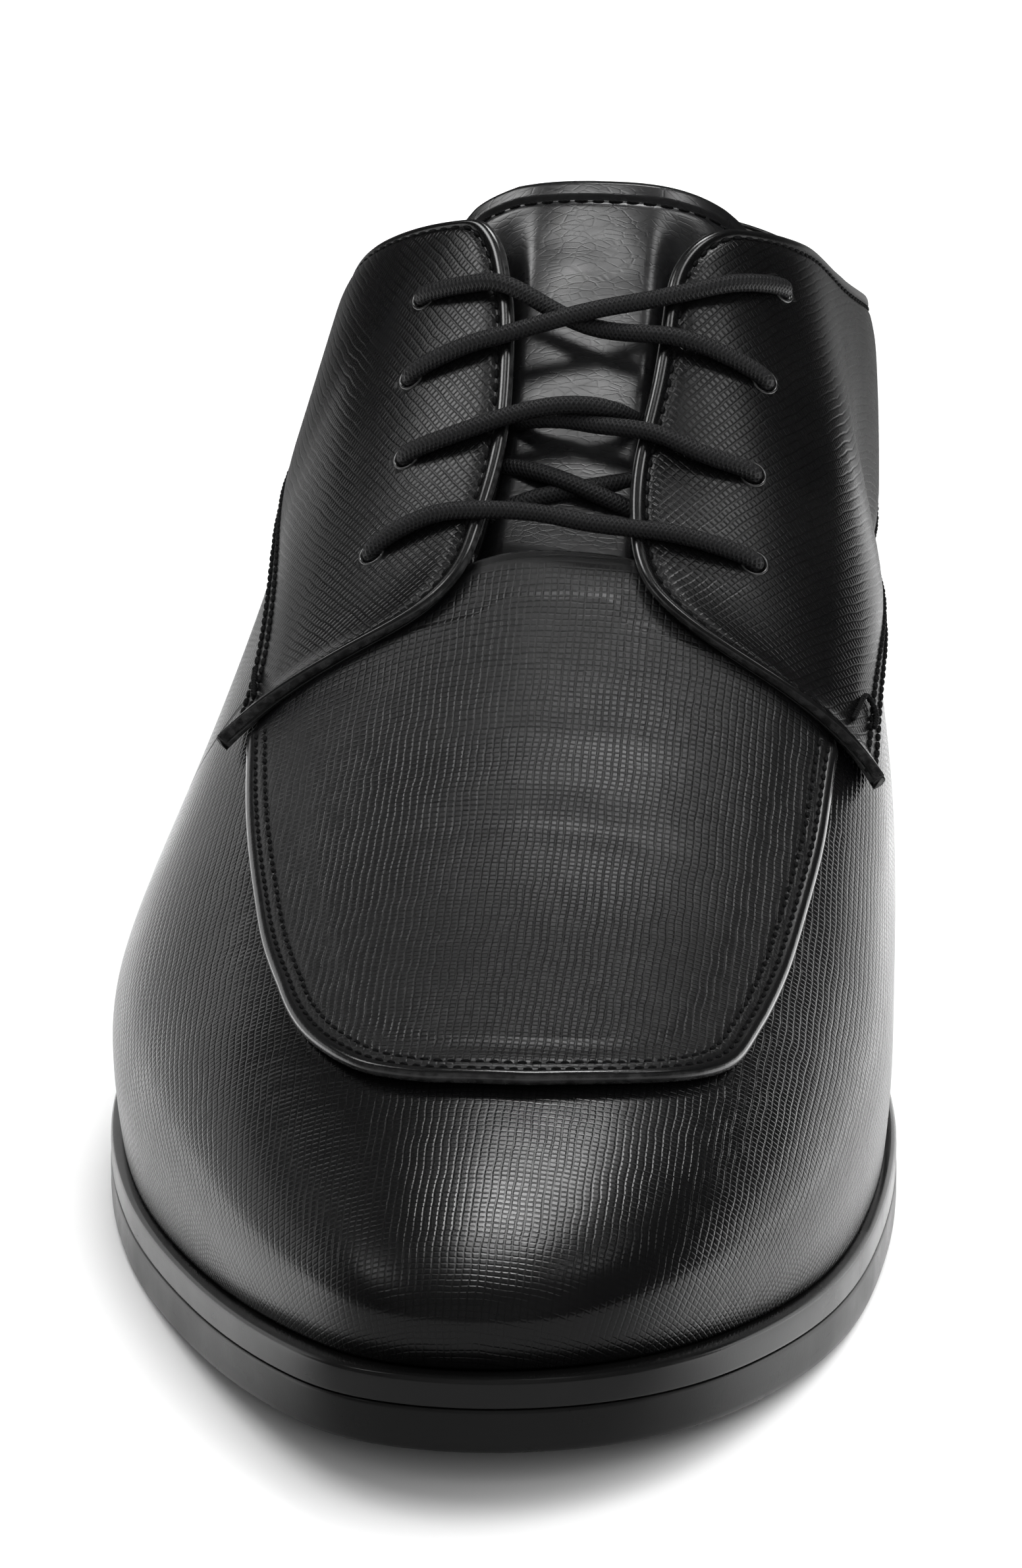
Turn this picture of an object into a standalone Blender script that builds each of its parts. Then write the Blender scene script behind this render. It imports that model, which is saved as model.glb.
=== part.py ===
"""Right apron-toe derby built on one last.

The tables are in mm: toe toward -Y, inner side toward +X, floor at z = 0.
"""

import math

import bmesh
import bpy
import numpy as np

MM = 0.001
SOLE_LENGTH = 303.0
BALL_WIDTH = 107.0
INSTEP_HEIGHT = 91.0
HEEL_HEIGHT = 21.0
TOE_SPRING = 9.6
MIDSOLE = 3.8
OUTSOLE = 5.8
INSOLE = 3.0
WALL = 2.0
QUARTER = 2.2
APRON = 1.4
TONGUE = 2.2
TONGUE_LEAN = 0.5
TONGUE_SHIFT = 2.5
GAP = 0.3
APRON_CLEAR = 1.2
LACE_RADIUS = 1.3
EYELET_RADIUS = 1.8
CENTRE_X = 0.45
TOE_FAN_Y = -86.0
HEEL_FAN_Y = 116.0
THROAT_Y = -13.2
BREAST_Y = 72.0
GIRTH = 0.2

SCALE_X = BALL_WIDTH / 107.0
SCALE_Y = SOLE_LENGTH / 303.0
SCALE_Z = INSTEP_HEIGHT / 91.0

# y, share of the toe spring, share of the heel height
SOLE_ROWS = (
    (-153, 1.0, 0.0),
    (-140, 0.72, 0.0),
    (-120, 0.365, 0.0),
    (-100, 0.115, 0.0),
    (-82, 0.0, 0.0),
    (-60, 0.0, 0.0),
    (-38, 0.0, 0.0),
    (-15, 0.0, 0.07),
    (10, 0.0, 0.25),
    (35, 0.0, 0.495),
    (60, 0.0, 0.73),
    (85, 0.0, 0.88),
    (110, 0.0, 0.943),
    (153, 0.0, 1.0),
)

# x, y of the line where upper meets sole, bulge beyond it, height of the bulge, fullness of the section
LAST_ROWS = (
    (5.8, -148.0, 0.8, 6, 2.4),
    (-4.8, -145.0, 0.8, 6, 2.4),
    (-14.4, -135.3, 0.8, 6, 2.4),
    (-24.2, -120.8, 0.9, 7, 2.4),
    (-34.4, -101.8, 1.0, 9, 2.3),
    (-43.3, -81.0, 1.0, 10, 2.15),
    (-49.3, -58.3, 1.0, 12, 1.97),
    (-51.1, -36.0, 1.1, 13, 1.85),
    (-48.6, -10.0, 0.8, 14, 1.82),
    (-42.8, 20.0, 0.8, 16, 1.86),
    (-36.1, 55.0, 1.2, 19, 1.95),
    (-31.2, 88.0, 2.0, 20, 2.05),
    (-28.4, 112.0, 1.8, 19, 2.1),
    (-21.4, 132.5, 1.4, 18, 2.1),
    (-8.6, 144.6, 1.2, 18, 2.1),
    (4.2, 147.6, 1.2, 18, 2.1),
    (17.0, 144.6, 1.2, 18, 2.1),
    (29.6, 132.5, 1.4, 18, 2.1),
    (36.2, 112.0, 1.8, 19, 2.1),
    (37.2, 88.0, 2.0, 21, 2.1),
    (36.1, 55.0, 2.0, 24, 2.1),
    (39.4, 20.0, 3.6, 27, 2.3),
    (46.0, -12.0, 3.0, 24, 2.5),
    (51.3, -42.0, 1.0, 16, 2.4),
    (52.0, -62.0, 0.8, 12, 2.3),
    (50.3, -82.0, 0.8, 10, 2.3),
    (45.8, -102.5, 0.9, 9, 2.3),
    (38.0, -121.0, 0.9, 8, 2.4),
    (27.4, -136.8, 0.8, 7, 2.4),
    (16.8, -145.2, 0.8, 6, 2.4),
)

# y, x and z of the ridge along the top; behind the collar it only guides the walls
RIDGE_ROWS = (
    (-86, 5.9, 45.4),
    (-70, 5.4, 49.1),
    (-50, 4.8, 56.1),
    (-30, 4.4, 65.6),
    (-12, 4.4, 77.0),
    (6, 4.5, 91.4),
    (30, 5.0, 114.0),
    (55, 5.0, 136.0),
    (85, 4.6, 153.0),
    (116, 4.2, 158.0),
)

# y, how far the sole stands out past the upper
MARGIN_ROWS = (
    (-152, 3.6),
    (-140, 3.3),
    (-120, 2.4),
    (-100, 1.8),
    (-70, 1.5),
    (-30, 1.4),
    (10, 1.0),
    (60, 1.0),
    (110, 2.0),
    (152, 4.0),
)

# y, z of the collar's edge on the outer and the inner side, and y, z of the quarters' lower seam
TOPLINE_ROWS = (
    (20, 114.6, 114.0),
    (29, 111.4, 110.6),
    (35, 108.8, 109.0),
    (44, 104.0, 105.8),
    (52, 98.8, 102.6),
    (65, 90.6, 96.0),
    (80, 83.4, 89.4),
    (95, 78.8, 84.0),
    (110, 76.6, 79.6),
    (125, 77.2, 77.8),
    (140, 79.8, 79.8),
    (153, 83.0, 83.0),
)
SEAM_ROWS = (
    (-31, 49.4),
    (-25, 50.4),
    (-18, 52.2),
    (0, 56.4),
    (20, 59.4),
    (45, 61.0),
    (75, 60.0),
    (116, 58.0),
    (153, 59.0),
)

# y, distance of the quarter's edge from the ridge, outer and inner side
OUTER_EDGE_ROWS = (
    (-24.4, 42.4),
    (-23.6, 37.0),
    (-22.9, 30.6),
    (-21.8, 23.6),
    (-20.0, 17.5),
    (-17.1, 13.5),
    (-13.5, 11.2),
    (-9.5, 10.2),
    (0.5, 8.4),
    (9.5, 8.2),
    (18.5, 9.1),
    (23.0, 10.2),
    (26.6, 12.2),
    (29.3, 14.5),
    (60.0, 14.5),
)
INNER_EDGE_ROWS = (
    (-28.0, 42.2),
    (-27.5, 36.6),
    (-26.6, 30.6),
    (-25.0, 24.5),
    (-22.5, 18.7),
    (-19.1, 13.8),
    (-15.9, 11.3),
    (-12.1, 9.9),
    (-7.0, 9.1),
    (-0.5, 9.0),
    (9.5, 10.4),
    (18.5, 10.9),
    (23.0, 11.4),
    (26.6, 13.2),
    (29.3, 15.4),
    (60.0, 15.4),
)

# y, reach of the apron from the ridge to the outer and the inner side
APRON_ROWS = (
    (-111.6, 4.5, 3.0),
    (-111.1, 8.4, 6.9),
    (-110.0, 11.9, 11.8),
    (-108.4, 15.4, 16.8),
    (-106.2, 18.3, 21.3),
    (-103.0, 21.3, 25.4),
    (-98.0, 24.8, 28.9),
    (-91.4, 27.9, 30.8),
    (-83.4, 30.5, 32.5),
    (-74.5, 32.9, 34.1),
    (-65.5, 34.7, 35.3),
    (-56.5, 36.3, 36.4),
    (-47.5, 37.7, 37.4),
    (-39.5, 38.7, 37.9),
    (-32.5, 39.4, 38.2),
)

# y of each eyelet and its distance from the ridge, outer and inner side
OUTER_EYELETS = ((-6.9, 24.9), (4.8, 21.6), (15.7, 22.2), (25.6, 21.7))
INNER_EYELETS = ((-9.9, 25.6), (1.9, 24.3), (14.8, 24.4), (29.6, 24.8))

# y, half width of the tongue
TONGUE_ROWS = (
    (-22, 19.0),
    (-16, 20.5),
    (-10, 21.5),
    (-4, 22.0),
    (2, 22.5),
    (8, 23.0),
    (14, 23.5),
    (20, 23.8),
    (25, 23.4),
    (29, 22.8),
    (31.5, 21.6),
    (33.2, 19.6),
    (34.2, 16.8),
    (34.8, 12.6),
)

UPPER_YS = (-86, -75, -64, -53, -43, -34, -26, -19, THROAT_Y, -12, -5, 3, 11, 19, 25, 29.3)
COLLAR_YS = (32, 38, 46, 56, 68, 80, 92, 104, 116)
FACING_YS = (-4, 1, 7, 13, 18.5, 23, 26.6, 29.3)
OUTER, INNER = -1, 1


def spline(rows, closed=False):
    """Natural cubic through the rows, whose first column is the parameter, or a closed one."""
    table = np.array(rows, float)
    xs, ys = table[:, 0], table[:, 1:]
    step = np.diff(xs)
    count = len(xs) - 1 if closed else len(xs)
    matrix, right = np.zeros((count, count)), np.zeros((count, ys.shape[1]))
    for i in range(count):
        if not closed and i in (0, count - 1):
            matrix[i, i] = 1
            continue
        before, after = step[i - 1], step[i]
        matrix[i, i - 1] += before
        matrix[i, i] += 2 * (before + after)
        matrix[i, (i + 1) % count] += after
        rise = (ys[i + 1] - ys[i]) / after
        right[i] = 6 * (rise - (ys[i] - ys[(i - 1) % count]) / before)
    bend = np.linalg.solve(matrix, right)
    if closed:
        bend = np.vstack([bend, bend[:1]])

    def value(x):
        x = np.asarray(x, float)
        x = xs[0] + np.mod(x - xs[0], xs[-1] - xs[0]) if closed else x
        i = np.clip(np.searchsorted(xs, x, side="right") - 1, 0, len(xs) - 2)
        h = step[i][..., None]
        left, past = xs[i + 1][..., None] - x[..., None], x[..., None] - xs[i][..., None]
        cubic = (bend[i] * left**3 + bend[i + 1] * past**3) / (6 * h)
        found = cubic + (ys[i] / h - bend[i] * h / 6) * left + (ys[i + 1] / h - bend[i + 1] * h / 6) * past
        return found[..., 0] if found.shape[-1] == 1 else found

    return value


def linear(rows):
    table = np.array(rows, float)
    return lambda y: np.interp(y, table[:, 0], table[:, 1])


sole_rise = spline(SOLE_ROWS)
ridge = spline([(y * SCALE_Y, x * SCALE_X, z * SCALE_Z) for y, x, z in RIDGE_ROWS])
margin = spline(MARGIN_ROWS)
topline = {
    OUTER: spline([(y, outer) for y, outer, _ in TOPLINE_ROWS]),
    INNER: spline([(y, inner) for y, _, inner in TOPLINE_ROWS]),
}
seam = spline(SEAM_ROWS)
edge = {OUTER: linear(OUTER_EDGE_ROWS), INNER: linear(INNER_EDGE_ROWS)}
tongue_half = linear(TONGUE_ROWS)

last = np.array(LAST_ROWS, float) * (SCALE_X, SCALE_Y, 1, 1, 1)
last = np.vstack([last, last[:1]])
along = np.concatenate([[0], np.cumsum(np.hypot(*np.diff(last[:, :2], axis=0).T))])
feather_line = spline(np.column_stack([along, last]), closed=True)
dense = np.linspace(0, along[-1], 3001)[:-1]
dense_y = feather_line(dense)[:, 1]
HEEL_S = dense[np.argmax(dense_y)]
TOE_S = dense[np.argmin(np.where(dense < HEEL_S, dense_y, 999))]
ROUND = along[-1]


def sole_bottom(y):
    shares = sole_rise(y)
    rise = TOE_SPRING * shares[..., 0] + HEEL_HEIGHT * shares[..., 1]
    flat = (np.asarray(y) > -82) & (np.asarray(y) < -38)
    return np.where(flat, 0.0, np.maximum(rise, 0.0))


def sole_top(y):
    return sole_bottom(y) + OUTSOLE + MIDSOLE + GAP


def station(y, side):
    """Place along the feather line at this y, on the outer or the inner side."""
    low, high = (TOE_S, HEEL_S) if side == OUTER else (HEEL_S, TOE_S + ROUND)
    s = np.linspace(low, high, 1500)
    ys = feather_line(s)[:, 1]
    found = np.interp(y, ys, s) if side == OUTER else np.interp(-np.asarray(y, float), -ys, s)
    for _ in range(4):
        here, ahead = feather_line(found)[..., 1], feather_line(found + 0.01)[..., 1]
        found = found - (here - y) * 0.01 / (ahead - here)
    return found


def section(s):
    """What one section of the last needs: its centre, direction, reach, heights and fullness."""
    row = feather_line(s)
    foot = row[..., :2]
    centre_y = np.clip(foot[..., 1], TOE_FAN_Y, HEEL_FAN_Y)
    top = ridge(centre_y)
    centre = np.stack([top[..., 0], centre_y], -1)
    reach = np.linalg.norm(foot - centre, axis=-1)
    out = (foot - centre) / reach[..., None]
    base = sole_top(foot[..., 1]) + GAP
    wide, girth = reach + row[..., 2], base + row[..., 3]
    return centre, out, reach, wide, base, girth, top[..., 1], row[..., 4], foot[..., 1]


def wall(s, t):
    """Point of the last: s runs round the feather line, t from the sole at 0 to the ridge at 1."""
    s, t = np.broadcast_arrays(np.asarray(s, float), np.asarray(t, float))
    centre, out, reach, wide, base, girth, top, full, foot_y = section(s)
    pitch = np.gradient(ridge(TOE_FAN_Y + np.array([0.0, 0.5]))[:, 1], 0.5)[0]
    fall = np.where(foot_y < TOE_FAN_Y, -out[..., 1] * pitch, 0.0) * wide
    low = np.clip(t / GIRTH, 0, 1)
    turn = np.clip((t - GIRTH) / (1 - GIRTH), 0, 1) * math.pi / 2
    across, up = np.cos(turn) ** (2 / full), np.sin(turn) ** (2 / full)
    distance = np.where(t <= GIRTH, reach + (wide - reach) * np.sin(low * math.pi / 2), wide * across)
    height = girth + fall * (1 - across) + (top - girth - fall) * up
    height = np.where(t <= GIRTH, base + (girth - base) * low, height)
    return np.concatenate([centre + out * distance[..., None], height[..., None]], -1)


def skin(s, t, offset):
    """Point this far outside the last, along its normal."""
    s, t = np.broadcast_arrays(np.asarray(s, float), np.asarray(t, float))
    inner_t = np.clip(t, 0.006, 0.98)
    around = wall(s + 0.4, inner_t) - wall(s - 0.4, inner_t)
    upward = wall(s, inner_t + 0.005) - wall(s, inner_t - 0.005)
    normal = np.cross(around, upward)
    point = wall(s, t)
    outward = section(s)[1]
    flip = (normal[..., :2] * outward).sum(-1) + normal[..., 2] < 0
    normal = np.where(flip[..., None], -normal, normal)
    y = np.clip(point[..., 1], TOE_FAN_Y, HEEL_FAN_Y)
    slope = (ridge(y + 0.5)[..., 1] - ridge(y)[..., 1]) / 0.5
    crest = np.stack([np.zeros_like(y), -slope, np.ones_like(y)], -1)
    normal = np.where((t > 0.9999)[..., None], crest, normal)
    return point + offset * normal / np.linalg.norm(normal, axis=-1, keepdims=True)


def t_at_distance(s, distance):
    """t of the section at s where it is this far from the ridge in plan."""
    _, _, _, wide, _, _, _, full, _ = section(s)
    turn = np.arccos(np.clip(distance / wide, 0, 1) ** (full / 2))
    return GIRTH + (1 - GIRTH) * turn / (math.pi / 2)


def t_at_line(s, line):
    """t where the section at s crosses a line given as z by y."""
    low, high = np.full(np.shape(s), 0.02), np.full(np.shape(s), 0.999)
    for _ in range(40):
        middle = (low + high) / 2
        point = wall(s, middle)
        above = point[..., 2] > line(point[..., 1])
        low, high = np.where(above, low, middle), np.where(above, middle, high)
    return (low + high) / 2


def on_upper(distance, y, lift):
    """Point above the upper, this far from the ridge: negative to the outer side."""
    s = station(y, OUTER if distance < 0 else INNER)
    return skin(s, t_at_distance(s, abs(distance)), lift)


def collection(name):
    made = bpy.data.collections.new(name)
    bpy.context.scene.collection.children.link(made)
    return made


def material(name, colour, roughness):
    made = bpy.data.materials.new(name)
    made.use_nodes = True
    shader = made.node_tree.nodes["Principled BSDF"]
    shader.inputs["Base Color"].default_value = (*colour, 1.0)
    shader.inputs["Roughness"].default_value = roughness
    return made


def part(name, mesh, finish, owner):
    obj = bpy.data.objects.new(name, mesh)
    owner.objects.link(obj)
    if finish:
        mesh.materials.append(finish)
    else:
        obj.hide_render = True
        obj.display_type = "WIRE"
    return obj


def faces_mesh(name, faces, solid=True):
    """Mesh from faces given as lists of points in mm; equal points become one."""
    points = np.concatenate([np.asarray(face, float) for face in faces])
    _, first, index = np.unique(np.round(points, 3), axis=0, return_index=True, return_inverse=True)
    index, start, polygons = index.reshape(-1), 0, []
    for face in faces:
        ring = [int(k) for k in index[start : start + len(face)]]
        start += len(face)
        ring = [k for i, k in enumerate(ring) if k != ring[i - 1]]
        if len(ring) > 2:
            polygons.append(ring)
    mesh = bpy.data.meshes.new(name)
    mesh.from_pydata(((points[first] - (CENTRE_X, 0, 0)) * MM).tolist(), [], polygons)
    if solid:
        work = bmesh.new()
        work.from_mesh(mesh)
        bmesh.ops.recalc_face_normals(work, faces=work.faces)
        work.to_mesh(mesh)
        work.free()
    mesh.update()
    return mesh


def grid_faces(grid, closed=False):
    """Faces of a grid of points, wound so that they face away from the foot."""
    rows = len(grid) if closed else len(grid) - 1
    faces = []
    for i in range(rows):
        a, b = grid[i], grid[(i + 1) % len(grid)]
        faces += [(a[j], a[j + 1], b[j + 1], b[j]) for j in range(len(a) - 1)]
    return faces


def shell(name, faces, thickness, outward, finish, owner):
    """Sheet thickened to one side by Solidify."""
    obj = part(name, faces_mesh(name, faces, solid=False), finish, owner)
    solidify = obj.modifiers.new("thickness", "SOLIDIFY")
    solidify.thickness = thickness * MM
    solidify.offset = 1 if outward else -1
    return obj


def columns(ends, low, rows):
    """Rows of t from low to each column's end."""
    return low[:, None] + (ends - low)[:, None] * np.linspace(0, 1, rows)[None]


def facing_end(s, side, spare):
    """t of the upper's free edge at s: the facing or the collar, less what is spared."""
    y = feather_line(s)[..., 1]
    collar = t_at_line(s, lambda at: topline[side](at) - spare)
    return np.minimum(collar, t_at_distance(s, edge[side](y) + spare))


def heel_fan(side, last_one):
    """Places round the heel on one side, up to the last one at the back."""
    found = np.linspace(station(HEEL_FAN_Y, side), HEEL_S, 6)[1:]
    found[-1] = last_one
    return found


def make_upper(finish, owner):
    outer_toe, inner_toe = station(TOE_FAN_Y, OUTER), station(TOE_FAN_Y, INNER)
    ys = np.array(UPPER_YS + COLLAR_YS)
    fan = np.linspace(inner_toe - ROUND, outer_toe, 15)[1:-1]
    outer_heel, inner_heel = heel_fan(OUTER, HEEL_S), heel_fan(INNER, HEEL_S)[-2::-1]
    s = np.concatenate([fan, station(ys, OUTER), outer_heel, inner_heel, station(ys[::-1], INNER)])
    y = feather_line(s)[:, 1]
    side = np.where(np.mod(s, ROUND) < HEEL_S, OUTER, INNER)
    free = np.where(side == OUTER, facing_end(s, OUTER, 1.0), facing_end(s, INNER, 1.0))
    ends = np.where(y <= THROAT_Y + 0.1, 1.0, free)
    grid = skin(s[:, None], columns(ends, np.zeros_like(s), 12), 0.0)
    return shell("upper", grid_faces(grid, closed=True), WALL, False, finish, owner)


def make_quarter(name, side, finish, owner):
    rows = OUTER_EDGE_ROWS if side == OUTER else INNER_EDGE_ROWS
    ys = [row[0] for row in rows if row[0] < -5] + list(FACING_YS) + list(COLLAR_YS)
    back_seam = HEEL_S + side * 0.25
    s = np.concatenate([station(np.array(ys, float), side), heel_fan(side, back_seam)])
    t = columns(facing_end(s, side, 0.0), t_at_line(s, seam), 9)
    grid = skin(s[:, None], t, GAP)
    faces = grid_faces(grid if side == OUTER else grid[::-1])
    return shell(name, faces, QUARTER, True, finish, owner)


def make_apron(finish, owner):
    """Raised top piece: wide in front of the quarters, then drawn in along their edges to the throat."""
    rows = list(APRON_ROWS)
    wide = spline(APRON_ROWS[-6:])
    edge_ys = {row[0] for row in OUTER_EDGE_ROWS + INNER_EDGE_ROWS if row[0] < THROAT_Y}
    for edge_y in sorted(edge_ys):
        y = edge_y - APRON_CLEAR
        outer, inner = wide(np.array(y))
        beside = [edge[side](edge_y) - APRON_CLEAR / 2 for side in (OUTER, INNER)]
        rows.append((y, min(outer, beside[0]), min(inner, beside[1])))
    across = np.linspace(-1, 1, 15)
    across = np.sign(across) * np.abs(across) ** 0.85
    grid = []
    for y, outer, inner in rows:
        grid.append([plan_point(y, a * (outer if a < 0 else inner), GAP) for a in across])
    faces = grid_faces(np.array(grid))
    return shell("apron", faces, APRON, True, finish, owner)


def plan_point(y, distance, lift):
    """Point above the upper at this y and distance from the ridge line, in the toe's fan too."""
    if y >= TOE_FAN_Y:
        return on_upper(distance, y, lift)
    away = np.array([distance, y - TOE_FAN_Y])
    s = np.linspace(station(TOE_FAN_Y, INNER) - ROUND, station(TOE_FAN_Y, OUTER), 400)
    _, out, *_ = section(s)
    place = np.interp(-math.atan2(away[0], -away[1]), -np.arctan2(out[:, 0], -out[:, 1]), s)
    return skin(place, t_at_distance(place, np.hypot(*away)), lift)


def make_tongue(finish, owner):
    """Tongue under the facings, a little to the inner side, its rows square to the slope of the instep."""
    lift = -WALL - 2 * GAP - 0.1
    grid = []
    for y, half in TONGUE_ROWS:
        row = []
        for across in np.linspace(TONGUE_SHIFT - half, TONGUE_SHIFT + half, 13):
            drop = ridge(np.array(y))[1] - on_upper(across, y, 0.0)[2]
            row.append(on_upper(across, y + TONGUE_LEAN * drop, lift))
        grid.append(row)
    return shell("tongue", grid_faces(np.array(grid)), TONGUE, False, finish, owner)


def outline(grow, start, count):
    """Stations from toe to heel with the outer and inner x of the feather line moved out by grow(y)."""
    s = np.linspace(TOE_S, TOE_S + ROUND, 2001)[:-1]
    line = feather_line(s)[:, :2]
    ahead = np.roll(line, -1, 0) - np.roll(line, 1, 0)
    normal = np.column_stack([ahead[:, 1], -ahead[:, 0]])
    normal *= -1 if normal[0, 1] > 0 else 1
    line = line + normal / np.linalg.norm(normal, axis=1)[:, None] * grow(line[:, 1])[:, None]
    line = np.roll(line, -line[:, 1].argmin(), 0)
    heel = line[:, 1].argmax()
    outer, inner = line[: heel + 1], np.vstack([line[heel:], line[:1]])[::-1]
    if start is None:
        start, share = line[0, 1], (1 - np.cos(np.linspace(0, math.pi, count))) / 2
    else:
        share = np.sin(np.linspace(0, math.pi / 2, count))
    y = start + (line[heel, 1] - start) * share
    return y, np.interp(y, outer[:, 1], outer[:, 0]), np.interp(y, inner[:, 1], inner[:, 0])


def plate(name, levels, finish, owner, count=34):
    """Layer of the sole from rows of growth, height by y and first y, from its top face down."""
    rings = []
    for grow, height, start in levels:
        y, outer, inner = outline(grow, start, count)
        rings.append([np.column_stack([x, y, height(y)]) for x in (outer, inner)])
    faces = []
    for outer, inner in (rings[0], rings[-1]):
        faces += [(outer[i], outer[i + 1], inner[i + 1], inner[i]) for i in range(count - 1)]
    for above, below in zip(rings, rings[1:]):
        for a, b in zip(above, below):
            faces += [(a[i], a[i + 1], b[i + 1], b[i]) for i in range(count - 1)]
        faces.append((above[0][0], above[1][0], below[1][0], below[0][0]))
    return part(name, faces_mesh(name, faces), finish, owner)


def past_upper(grow):
    return lambda y: margin(y) + grow


def inside_upper(y):
    return np.full_like(y, -WALL - 1.0)


def level(surface, height):
    return lambda y: surface(y) + height


def floor_level(y):
    return np.zeros_like(y)


def make_sole(finishes, owner):
    """Midsole and outsole with the groove between their edges, the heel block and the insole."""
    rows = ((-0.5, 0.0), (0.0, -0.6), (0.0, 0.7 - MIDSOLE), (-0.7, -MIDSOLE))
    rows = [(past_upper(grow), level(sole_top, z), None) for grow, z in rows]
    plate("midsole", rows, finishes["midsole"], owner)
    rows = ((-0.7, OUTSOLE), (0.1, OUTSOLE - 0.8), (0.1, 0.7), (-0.7, 0.0))
    rows = [(past_upper(grow), level(sole_bottom, z), None) for grow, z in rows]
    plate("outsole", rows, finishes["outsole"], owner)
    rows = [(past_upper(-0.8), level(sole_bottom, -GAP), BREAST_Y)]
    for grow, z, back in ((-1.6, 5.0, 2.6), (-1.7, 0.8, 2.9), (-2.4, 0.0, 3.6)):
        rows.append((past_upper(grow), level(floor_level, z), BREAST_Y + back))
    plate("heel", rows, finishes["heel"], owner, count=18)
    rows = [(inside_upper, level(sole_top, z), None) for z in (GAP + INSOLE, GAP)]
    plate("insole", rows, finishes["insole"], owner, count=28)


def cord(name, stops, finish, owner):
    """Round lace through points given as distance from the ridge, y and lift."""
    curve = bpy.data.curves.new(name, "CURVE")
    curve.dimensions = "3D"
    curve.bevel_depth = LACE_RADIUS * MM
    curve.bevel_resolution = 1
    curve.use_fill_caps = True
    curve.resolution_u = 3
    line = curve.splines.new("BEZIER")
    line.bezier_points.add(len(stops) - 1)
    for knot, stop in zip(line.bezier_points, stops):
        knot.co = (on_upper(*stop) - (CENTRE_X, 0, 0)) * MM
        knot.handle_left_type = knot.handle_right_type = "AUTO"
    guide = bpy.data.objects.new(name + "_guide", curve)
    owner.objects.link(guide)
    mesh = bpy.data.meshes.new_from_object(guide.evaluated_get(bpy.context.evaluated_depsgraph_get()))
    bpy.data.objects.remove(guide)
    mesh.name = name
    work = bmesh.new()
    work.from_mesh(mesh)
    bmesh.ops.remove_doubles(work, verts=work.verts, dist=1e-6)
    bmesh.ops.recalc_face_normals(work, faces=work.faces)
    work.to_mesh(mesh)
    work.free()
    mesh.materials.clear()
    return part(name, mesh, finish, owner)


def cut(obj, cutter, operation):
    boolean = obj.modifiers.new(cutter.name, "BOOLEAN")
    boolean.operation = operation
    boolean.solver = "EXACT"
    boolean.object = cutter


def punch_eyelets(upper, quarters, cutters):
    for side, rows in ((OUTER, OUTER_EYELETS), (INNER, INNER_EYELETS)):
        for number, (y, distance) in enumerate(rows, 1):
            low, high = (on_upper(side * distance, y, lift) for lift in (-5.0, 6.0))
            along_hole = (high - low) / np.linalg.norm(high - low)
            cross = np.cross(along_hole, (0, 0, 1.0))
            cross /= np.linalg.norm(cross)
            turned = np.cross(along_hole, cross)
            angles = np.linspace(0, 2 * math.pi, 12, endpoint=False)
            circle = EYELET_RADIUS * (np.outer(np.cos(angles), cross) + np.outer(np.sin(angles), turned))
            ends = [list(low + circle), list(high + circle)]
            faces = [tuple(end) for end in ends]
            faces += [(ends[0][i - 1], ends[0][i], ends[1][i], ends[1][i - 1]) for i in range(12)]
            name = f"punch_{'outer' if side == OUTER else 'inner'}_{number}"
            punch = part(name, faces_mesh(name, faces), None, cutters)
            cut(quarters[side], punch, "DIFFERENCE")
            cut(upper, punch, "DIFFERENCE")


def make_laces(finish, owner, cutters):
    """Bar at the lowest eyelets and the two crossings above it, resting clear of the quarters."""
    rest = GAP + QUARTER + LACE_RADIUS + 0.4
    (y1, d1), (y2, d2), (y3, d3), (y4, d4) = OUTER_EYELETS
    (v1, e1), (v2, e2), (v3, e3), (v4, e4) = INNER_EYELETS
    bar = (
        (-d1, y1, rest),
        (-18.3, -6.3, rest),
        (-11.8, -7.0, rest),
        (-4.5, -8.3, 3.6),
        (4.6, -9.9, 3.6),
        (13.4, -10.2, rest),
        (19.0, -10.3, rest),
        (e1, v1, rest),
    )
    cord("lace_bar", bar, finish, owner)
    over = ((-d2, y2, rest), (-14.2, 3.9, rest), (-7.2, 4.5, rest), (0.01, 5.1, 3.4), (6.6, 5.6, 2.0))
    under = ((e2, v2, rest), (18.0, 1.2, rest), (11.4, 2.5, rest), (3.8, 3.4, 2.6), (-5.2, 5.4, 1.0))
    crossing = cord("lace_cross_lower", over, finish, owner)
    cut(crossing, cord("lace_lower_strand", under, None, cutters), "UNION")
    over = (
        (-d3, y3, rest),
        (-14.8, 14.9, rest),
        (-9.4, 14.7, rest),
        (0.8, 16.0, 3.6),
        (8.3, 18.1, rest),
        (15.0, 21.1, rest),
        (20.0, 24.6, rest),
        (e4, v4, rest),
    )
    under = (
        (e3, v3, rest),
        (17.6, 14.5, rest),
        (11.0, 14.5, rest),
        (0.8, 15.6, 2.4),
        (-9.1, 20.3, rest),
        (-14.6, 22.5, rest),
        (-d4, y4, rest),
    )
    crossing = cord("lace_cross_upper", over, finish, owner)
    cut(crossing, cord("lace_upper_strand", under, None, cutters), "UNION")


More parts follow.
